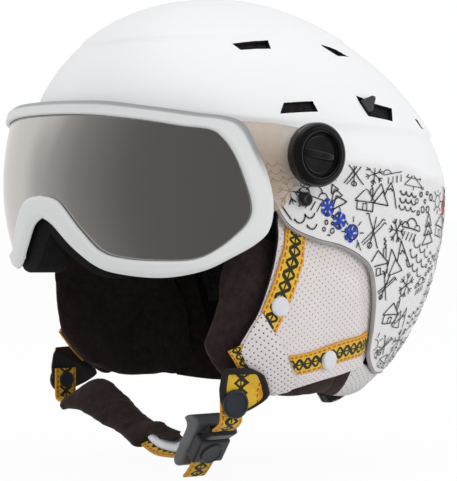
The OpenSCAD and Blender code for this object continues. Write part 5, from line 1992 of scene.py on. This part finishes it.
@dataclass
class ChinStrap:
    """The chin strap with its anchor tabs, buckle and fleece sleeve."""

    strap_w: float = 15.0
    strap_t: float = 1.6
    tab_t: float = 1.8
    tab_flat: float = 8.8
    border: float = 4.2
    border_t: float = 1.8
    inlay_in: float = 3.2
    inlay_mid: float = 5.0
    pad_w: float = 31.0
    pad_h: float = 9.0
    overlap: float = 15.0

    def build(self) -> None:
        """Makes the strap's pieces."""
        for side in Side:
            self._tab(side)
            self._button(side)
        self._webs()
        self._keeper()
        self._buckle()
        self._sleeve()

    def _tab_point(self, r: Array, y: Array, off: Any) -> Array:
        """Point of the tab, which is flat round the rivet and then follows the flap outward."""
        x = ANCHOR[0] + np.maximum(0, y * 0.31 + r * 0.57 - self.tab_flat) + off
        return np.stack(np.broadcast_arrays(x, ANCHOR[1] + y, ANCHOR[2] + r), -1)

    def _tab(self, side: Side) -> None:
        """The tab: a padded dark border round an inlay of printed webbing."""
        u, v = bunched(48)[None], bunched(60)[:, None]
        row = spline(TAB_ROWS, v[:, 0])
        r = row[:, :1] + 0 * u
        y = mix(row[:, 1:2], row[:, 2:3], u)
        span = row[:, 2:3] - row[:, 1:2]
        edge = np.minimum(np.minimum(u, 1 - u) * span, np.minimum(v, 1 - v) * 30.0)
        across = np.clip(edge, 0, self.border) / (self.border / 2) - 1
        hump = np.where(edge < self.border, np.sqrt(np.maximum(0, 1 - across**2)), 0.0)
        off = self.tab_t - self.border_t / 2 + self.border_t * hump
        shape = Surface.wall(self._tab_point(r, y, off), self._tab_point(r, y, 0.0))
        Piece.sided(side, "tab_leather", shape, TAB, "anchor_tab", sharp=60)
        v = mix(0.12, 0.89, bunched(40))[:, None]
        row = spline(TAB_ROWS, v[:, 0])
        r = row[:, :1] + 0 * u
        y = mix(row[:, 1:2] + self.inlay_in, row[:, 2:3] - self.inlay_in, u)
        top = self._tab_point(r, y, self.tab_t - 0.35)
        inlay = Surface.wall(
            top, self._tab_point(r, y, 0.4), flat=np.stack([r, y - self.inlay_mid], -1)
        )
        Piece.sided(side, "tab_inlay", inlay, INLAY, sharp=60)

    def _button(self, side: Side) -> None:
        """The button over the tab on its shaft, with a raised rim and a bare face."""
        foot = ANCHOR + [-2.2, 0, 0]
        at = Place.outward(foot)
        profile = [(0, -1.5), (4.6, -1.5), (5, -1.2), (5, -0.3), (4.7, 0), (3, 0.05), (3, 4.3)]
        profile += [(7.6, 4.35), (8.2, 4.6), (8.4, 5.0), (8.4, 6.1), (8.2, 6.8), (7.7, 7.35)]
        profile += [(6.9, 7.55), (6.5, 7.5), (6.2, 7.2), (6.05, 6.95), (5.7, 6.9), (0, 7.1)]
        shape = Surface.turned(profile, at, 72)
        Piece.sided(side, "anchor_button", shape, BADGE, "anchor_rivet", sharp=35)

    def _web(self, name: str, band: Band, u: Array, nodes: list[str], bore: Any = None) -> None:
        """A run of webbing, bored for its rivet where one is named."""
        rings = band.rings(u, self.strap_w / 2, self.strap_t / 2, 24, 0.22)
        shape = Surface.tube(rings, flat=band.flat(u, self.strap_w / 2, 24, 0.22))
        cutter = None if bore is None else Surface.rod(3.3, bore, (-6, 6), 32)
        Piece(name, shape, STRAP, Body.STRAP, nodes, 45, cut=cutter).make()

    def _webs(self) -> None:
        """The short left run, the long right run and the free end."""
        over = [STRAP_FROM + [0, 0, self.overlap], STRAP_FROM + [0, 0, self.overlap / 2]]
        rivet = ANCHOR + [-1.1, 0, 0]
        self._web(
            "web_left", Band([*over, *SIDE_RUN]), np.linspace(0, 1, 90),
            ["strap_left", "strap_eyelet_left"], rivet,
        )  # fmt: skip
        right = [*(p * FLIP for p in over), *CHIN]
        u = np.linspace(0, 1, 260)
        turn = ease(u * 3.0 - 0.45) * ease((1.08 - u) * 4.0)
        lean = mix(np.array([0.0, 1.0, 0.0]), np.array(CHIN_LEAN), turn[:, None])
        self._web(
            "web_right", Band(right, lean), u, ["strap_right", "strap_eyelet_right"], rivet * FLIP
        )
        self._web("web_tail", Band(TAIL_RUN), np.linspace(0, 1, 40), ["strap_tail"])

    def _keeper(self) -> None:
        """The keeper: a rubber sleeve with four ribs."""
        u = np.linspace(0.62, 0.88, 60)
        k = np.linspace(0, 1, 60)
        rib = 0.5 - 0.5 * np.cos(2 * np.pi * 4 * k)
        end = np.sqrt(np.clip(np.minimum(k, 1 - k) / 0.08, 0, 1))
        size = (0.9 + 0.1 * end) * (0.93 + 0.07 * rib)
        rings = Band(SIDE_RUN).rings(u, 10.1 * size, 3.4 * size, 40, 0.5)
        Piece("rubber_keeper", Surface.tube(rings), RUBBER, Body.STRAP, ["strap_keeper"], 60).make()

    def _buckle(self) -> None:
        """The body with its disc button, and behind it the tongue with its finger hood."""
        at = buckle_place()
        box = squared(4.0, 8.5, 1.8)
        cutter = Surface.rod(7.3, (0, 0, -1), (-1.9, 8))
        cutter.points = at.out(cutter.points)
        body = loaf(at, box, 10.5, 1.5)
        Piece("buckle_shell", body, BUCKLE, Body.STRAP, ["buckle_body"], 45, cut=cutter).make()
        face = buckle_place((1, 0, -1))
        button = Place(face.at, face.y, face.z, face.x)
        profile = [(0, 0), (7.2, 0), (7.2, 3.3), (7.0, 3.8), (6.6, 4.15), (6.2, 4.15)]
        profile += [(5.95, 3.95), (5.8, 3.75), (5.4, 3.7), (0, 3.85)]
        disc = Surface.turned(profile, button, 72)
        Piece("release_disc", disc, BADGE, Body.RELEASE, ["buckle_button"], 35).make()
        plate = [(-4.3, -14), (-3.8, -18.5), (-1.2, -20.8), (2.2, -19.6), (4.4, -15.5), (4.5, -6)]
        plate += [(4.5, 4), (4.5, 11), (3.8, 14.2), (1.5, 15.6), (-2, 15.4), (-6, 13.2), (-9.2, 9.4)]
        plate += [(-9.0, 7.6), (-6.2, 7.0), (-4.6, 4), (-4.5, -6)]
        back = buckle_place((-8.8, 0, 0))
        tongue = loaf(back, plate, 11.0, 1.6)
        # The tongue's lighter grey is painted light
        Piece("buckle_plate", tongue, LIT_TONGUE_GREY, Body.STRAP, ["buckle_tongue"], 50).make()

    def _sleeve(self) -> None:
        """The fleece sleeve, which narrows towards the buckle and runs on above the strap as a
        thin lobe, and the white padding between the lobe and the strap."""
        k = np.linspace(0, 1, 200)
        band = Band(CHIN, CHIN_LEAN)
        fat = mix(0.5, 1.0, np.sqrt(ease(k / 0.05)) * np.sqrt(ease((1 - k) / 0.07)))
        width = self.pad_w / 2 * mix(1.12, 0.72, ease((k - 0.2) / 0.8)) * mix(0.62, 1, fat)
        sleeve = band.rings(mix(0.235, 0.79, k), width, self.pad_h / 2 * fat, 56, 0.62)
        fat = np.sqrt(np.maximum(0.06, 1 - np.abs(2 * k - 1) ** 6))
        lobe = band.rings(mix(0.68, 0.97, k), 7.2 * fat, 2.7 * fat, 56, 0.8)
        lobe = lobe + np.array([0, 0, 1.0]) * (3.0 + 6.5 * ease(k / 0.5))[:, None, None]
        shapes = []
        for rings in (sleeve, lobe):
            soft = 0.45 * ripple(rings, 26.0, 5) + 0.2 * ripple(rings, 12.0, 3)
            middle = rings.mean(1, keepdims=True)
            shapes.append(Surface.tube(rings + unit(rings - middle) * soft[..., None]))
        shape = Surface.joined(shapes)
        Piece("chin_fleece", shape, FLEECE, Body.STRAP, ["chin_pad"], 85, 0.7, puff=0.8).make()
        k = np.linspace(-1, 1, 60)
        fat = mix(0.5, 1.0, np.sqrt(np.maximum(0, 1 - k**6)))
        rings = band.rings(np.linspace(0.77, 0.985, 60), 6.6 * fat, 2.5 * fat, 32, 0.7)
        rings = rings + [0, 2, self.strap_t / 2 + 3.8] + [0, 0, 0.25] * ripple(rings, 7.0, 4)[..., None]
        Piece("white_padding", Surface.tube(rings), PADDING, Body.STRAP, ["chin_liner"], 80, 0.6).make()


# Brightness of the surround at angles round it, from the front and with the left above 0
GLOW = [
    (-180, 0.9), (-85, 0.86), (-68, 0.84), (-57, 0.44), (-44, 0.3), (-29, 0.24), (-14, 0.195),
    (0, 0.165), (20, 0.15), (60, 0.14), (115, 0.135), (150, 0.6), (180, 0.9),
]  # fmt: skip


@dataclass
class Studio:
    """Camera, floor, lights and the surround that the lens mirrors."""

    azimuth: float = 55.7
    rise: float = 1.6
    distance: float = 1.4
    pixel: float = 0.00062
    aim: tuple[float, float, float] = (0.0, 0.02175, -0.114)
    frame_px: int = 481
    sensor: float = 36.0
    floor_half: float = 6.0
    globe_mm: float = 4000.0

    def build(self) -> None:
        """Makes the studio."""
        az, el = math.radians(self.azimuth), math.radians(self.rise)
        back = Vector((math.sin(az) * math.cos(el), -math.cos(az) * math.cos(el), math.sin(el)))
        right = Vector((math.cos(az), math.sin(az), 0.0))
        bpy.context.scene.view_settings.view_transform = "Standard"
        self._camera(back)
        self._floor()
        self._world()
        self._lights(back, right)
        self._surround()

    def _camera(self, back: Vector) -> None:
        """The camera, whose lens gives the photograph's scale at the aim's distance."""
        made = bpy.data.cameras.new("camera")
        made.sensor_width = self.sensor
        made.lens = self.sensor * self.distance / (self.frame_px * self.pixel)
        made.clip_start, made.clip_end = 0.05, 40.0
        holder = placed("camera", made)
        holder.location = Vector(self.aim) + back * self.distance
        holder.rotation_euler = (-back).to_track_quat("-Z", "Y").to_euler()
        bpy.context.scene.camera = holder

    def _floor(self) -> None:
        """A plain pale floor just below the helmet."""
        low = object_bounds()[0][2] - 0.002
        mesh = bpy.data.meshes.new("floor")
        s = self.floor_half
        mesh.from_pydata([(-s, -s, low), (s, -s, low), (s, s, low), (-s, s, low)], [], [[0, 1, 2, 3]])
        floor = placed("floor", mesh)
        tree = Tree(bpy.data.materials.new("studio_floor"))
        seen = tree.node("ShaderNodeLightPath", out="Is Camera Ray")
        plain = tree.node(
            "ShaderNodeBsdfPrincipled", {}, {"Base Color": (0.9, 0.9, 0.9), "Roughness": 0.9}
        )
        white = tree.node("ShaderNodeEmission", {}, {"Color": (1, 1, 1), "Strength": 1.0})
        both = tree.node("ShaderNodeMixShader", {}, {0: seen * 0.96, 1: plain, 2: white})
        tree.node("ShaderNodeOutputMaterial", {}, {"Surface": both})
        mesh.materials.append(tree.holder)
        floor.visible_glossy = False
        floor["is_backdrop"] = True

    @staticmethod
    def _world() -> None:
        """A soft white surround."""
        world = bpy.data.worlds.new("studio")
        bpy.context.scene.world = world
        tree = Tree(world)
        seen = tree.node("ShaderNodeLightPath", out="Is Camera Ray")
        soft, bright = (
            tree.node("ShaderNodeBackground", {}, {"Color": colour, "Strength": strength})
            for colour, strength in (((0.96, 0.98, 1.0), 0.54), ((1.0, 1.0, 1.0), 1.0))
        )
        both = tree.node("ShaderNodeMixShader", {}, {0: seen, 1: soft, 2: bright})
        tree.node("ShaderNodeOutputWorld", {}, {"Surface": both})

    def _lights(self, back: Vector, right: Vector) -> None:
        """A large key from the upper left, a fill from the right and a top light."""
        for name, across, near, up, size, power in (
            ("key", -1.1, 1.1, 1.0, 1.1, 7.6),
            ("fill", 1.3, 0.8, 0.5, 1.2, 8.6),
            ("top", 0.0, -0.1, 1.5, 1.3, 5.0),
        ):
            at = Vector(self.aim) + right * across + back * near + Vector((0, 0, up))
            self._area(name, at, size, power)

    def _area(self, name: str, at: Vector, size: float, power: float) -> None:
        """A square light that faces the helmet and that nothing mirrors."""
        lamp = bpy.data.lights.new(name, "AREA")
        lamp.size, lamp.energy = size, power
        holder = placed(name, lamp)
        holder.location = at
        holder.rotation_euler = (Vector(self.aim) - at).to_track_quat("-Z", "Y").to_euler()
        holder.visible_glossy = False

    def _surround(self) -> None:
        """A globe that only reflections see, whose brightness follows one curve of the angle
        round it: bright on the left and behind, dark from the front to the right, and bright
        again above."""
        az, el = np.radians(np.arange(0, 360, 3)), np.radians(np.arange(-88, 89, 4))
        az, el = np.broadcast_arrays(az[None], el[:, None])
        way = np.stack([np.sin(az) * np.cos(el), -np.cos(az) * np.cos(el), np.sin(el)], -1)
        shape = Surface.tube(way * self.globe_mm + np.array(self.aim) / MM)
        turn = (np.degrees(az) + 180) % 360 - 180
        round_ = np.interp(turn, *np.array(GLOW).T)
        above = ease((np.degrees(el) - 30) / 45) * 0.8
        shape.marks["glow"] = np.maximum(round_, above).ravel()
        globe = to_object("surround", shape)
        tree = Tree(bpy.data.materials.new("studio_surround"))
        glow = tree.mark("glow")
        light = tree.node("ShaderNodeEmission", {}, {"Color": (1.0, 0.99, 0.98), "Strength": glow})
        tree.node("ShaderNodeOutputMaterial", {}, {"Surface": light})
        globe.data.materials.append(tree.holder)
        globe.visible_camera = False
        globe.visible_diffuse = False
        globe.visible_shadow = False
        globe.visible_transmission = False
        globe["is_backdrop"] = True


KEPT = {
    "pivot_base_left": GLOSS, "pivot_base_right": GLOSS, "pivot_stud_left": STEEL,
    "pivot_stud_right": STEEL, "vent_slider_left": NYLON, "vent_slider_right": NYLON,
    "dial_base": NYLON, "fit_dial": RUBBER, "lace_spool": NYLON,
}  # fmt: skip


def finish_kept() -> None:
    """Gives each of the frame's own nodes that still shows its finish."""
    for name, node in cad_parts.items():
        if node.hide_render:
            continue
        finish = KEPT.get(name, NYLON)
        node.data.materials.clear()
        node.data.materials.append(finish.material())
        if name not in KEPT:
            LOG.warning("frame node %s shows without a finish of its own", name)


def main() -> None:
    """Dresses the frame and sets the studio."""
    logging.basicConfig(level=logging.INFO, format="%(name)s: %(message)s")
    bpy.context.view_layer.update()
    Shell().build()
    Ears().build()
    Visor().build()
    Pivots().build()
    Fit().build()
    ChinStrap().build()
    finish_kept()
    Studio().build()


if __name__ == "__main__":
    main()
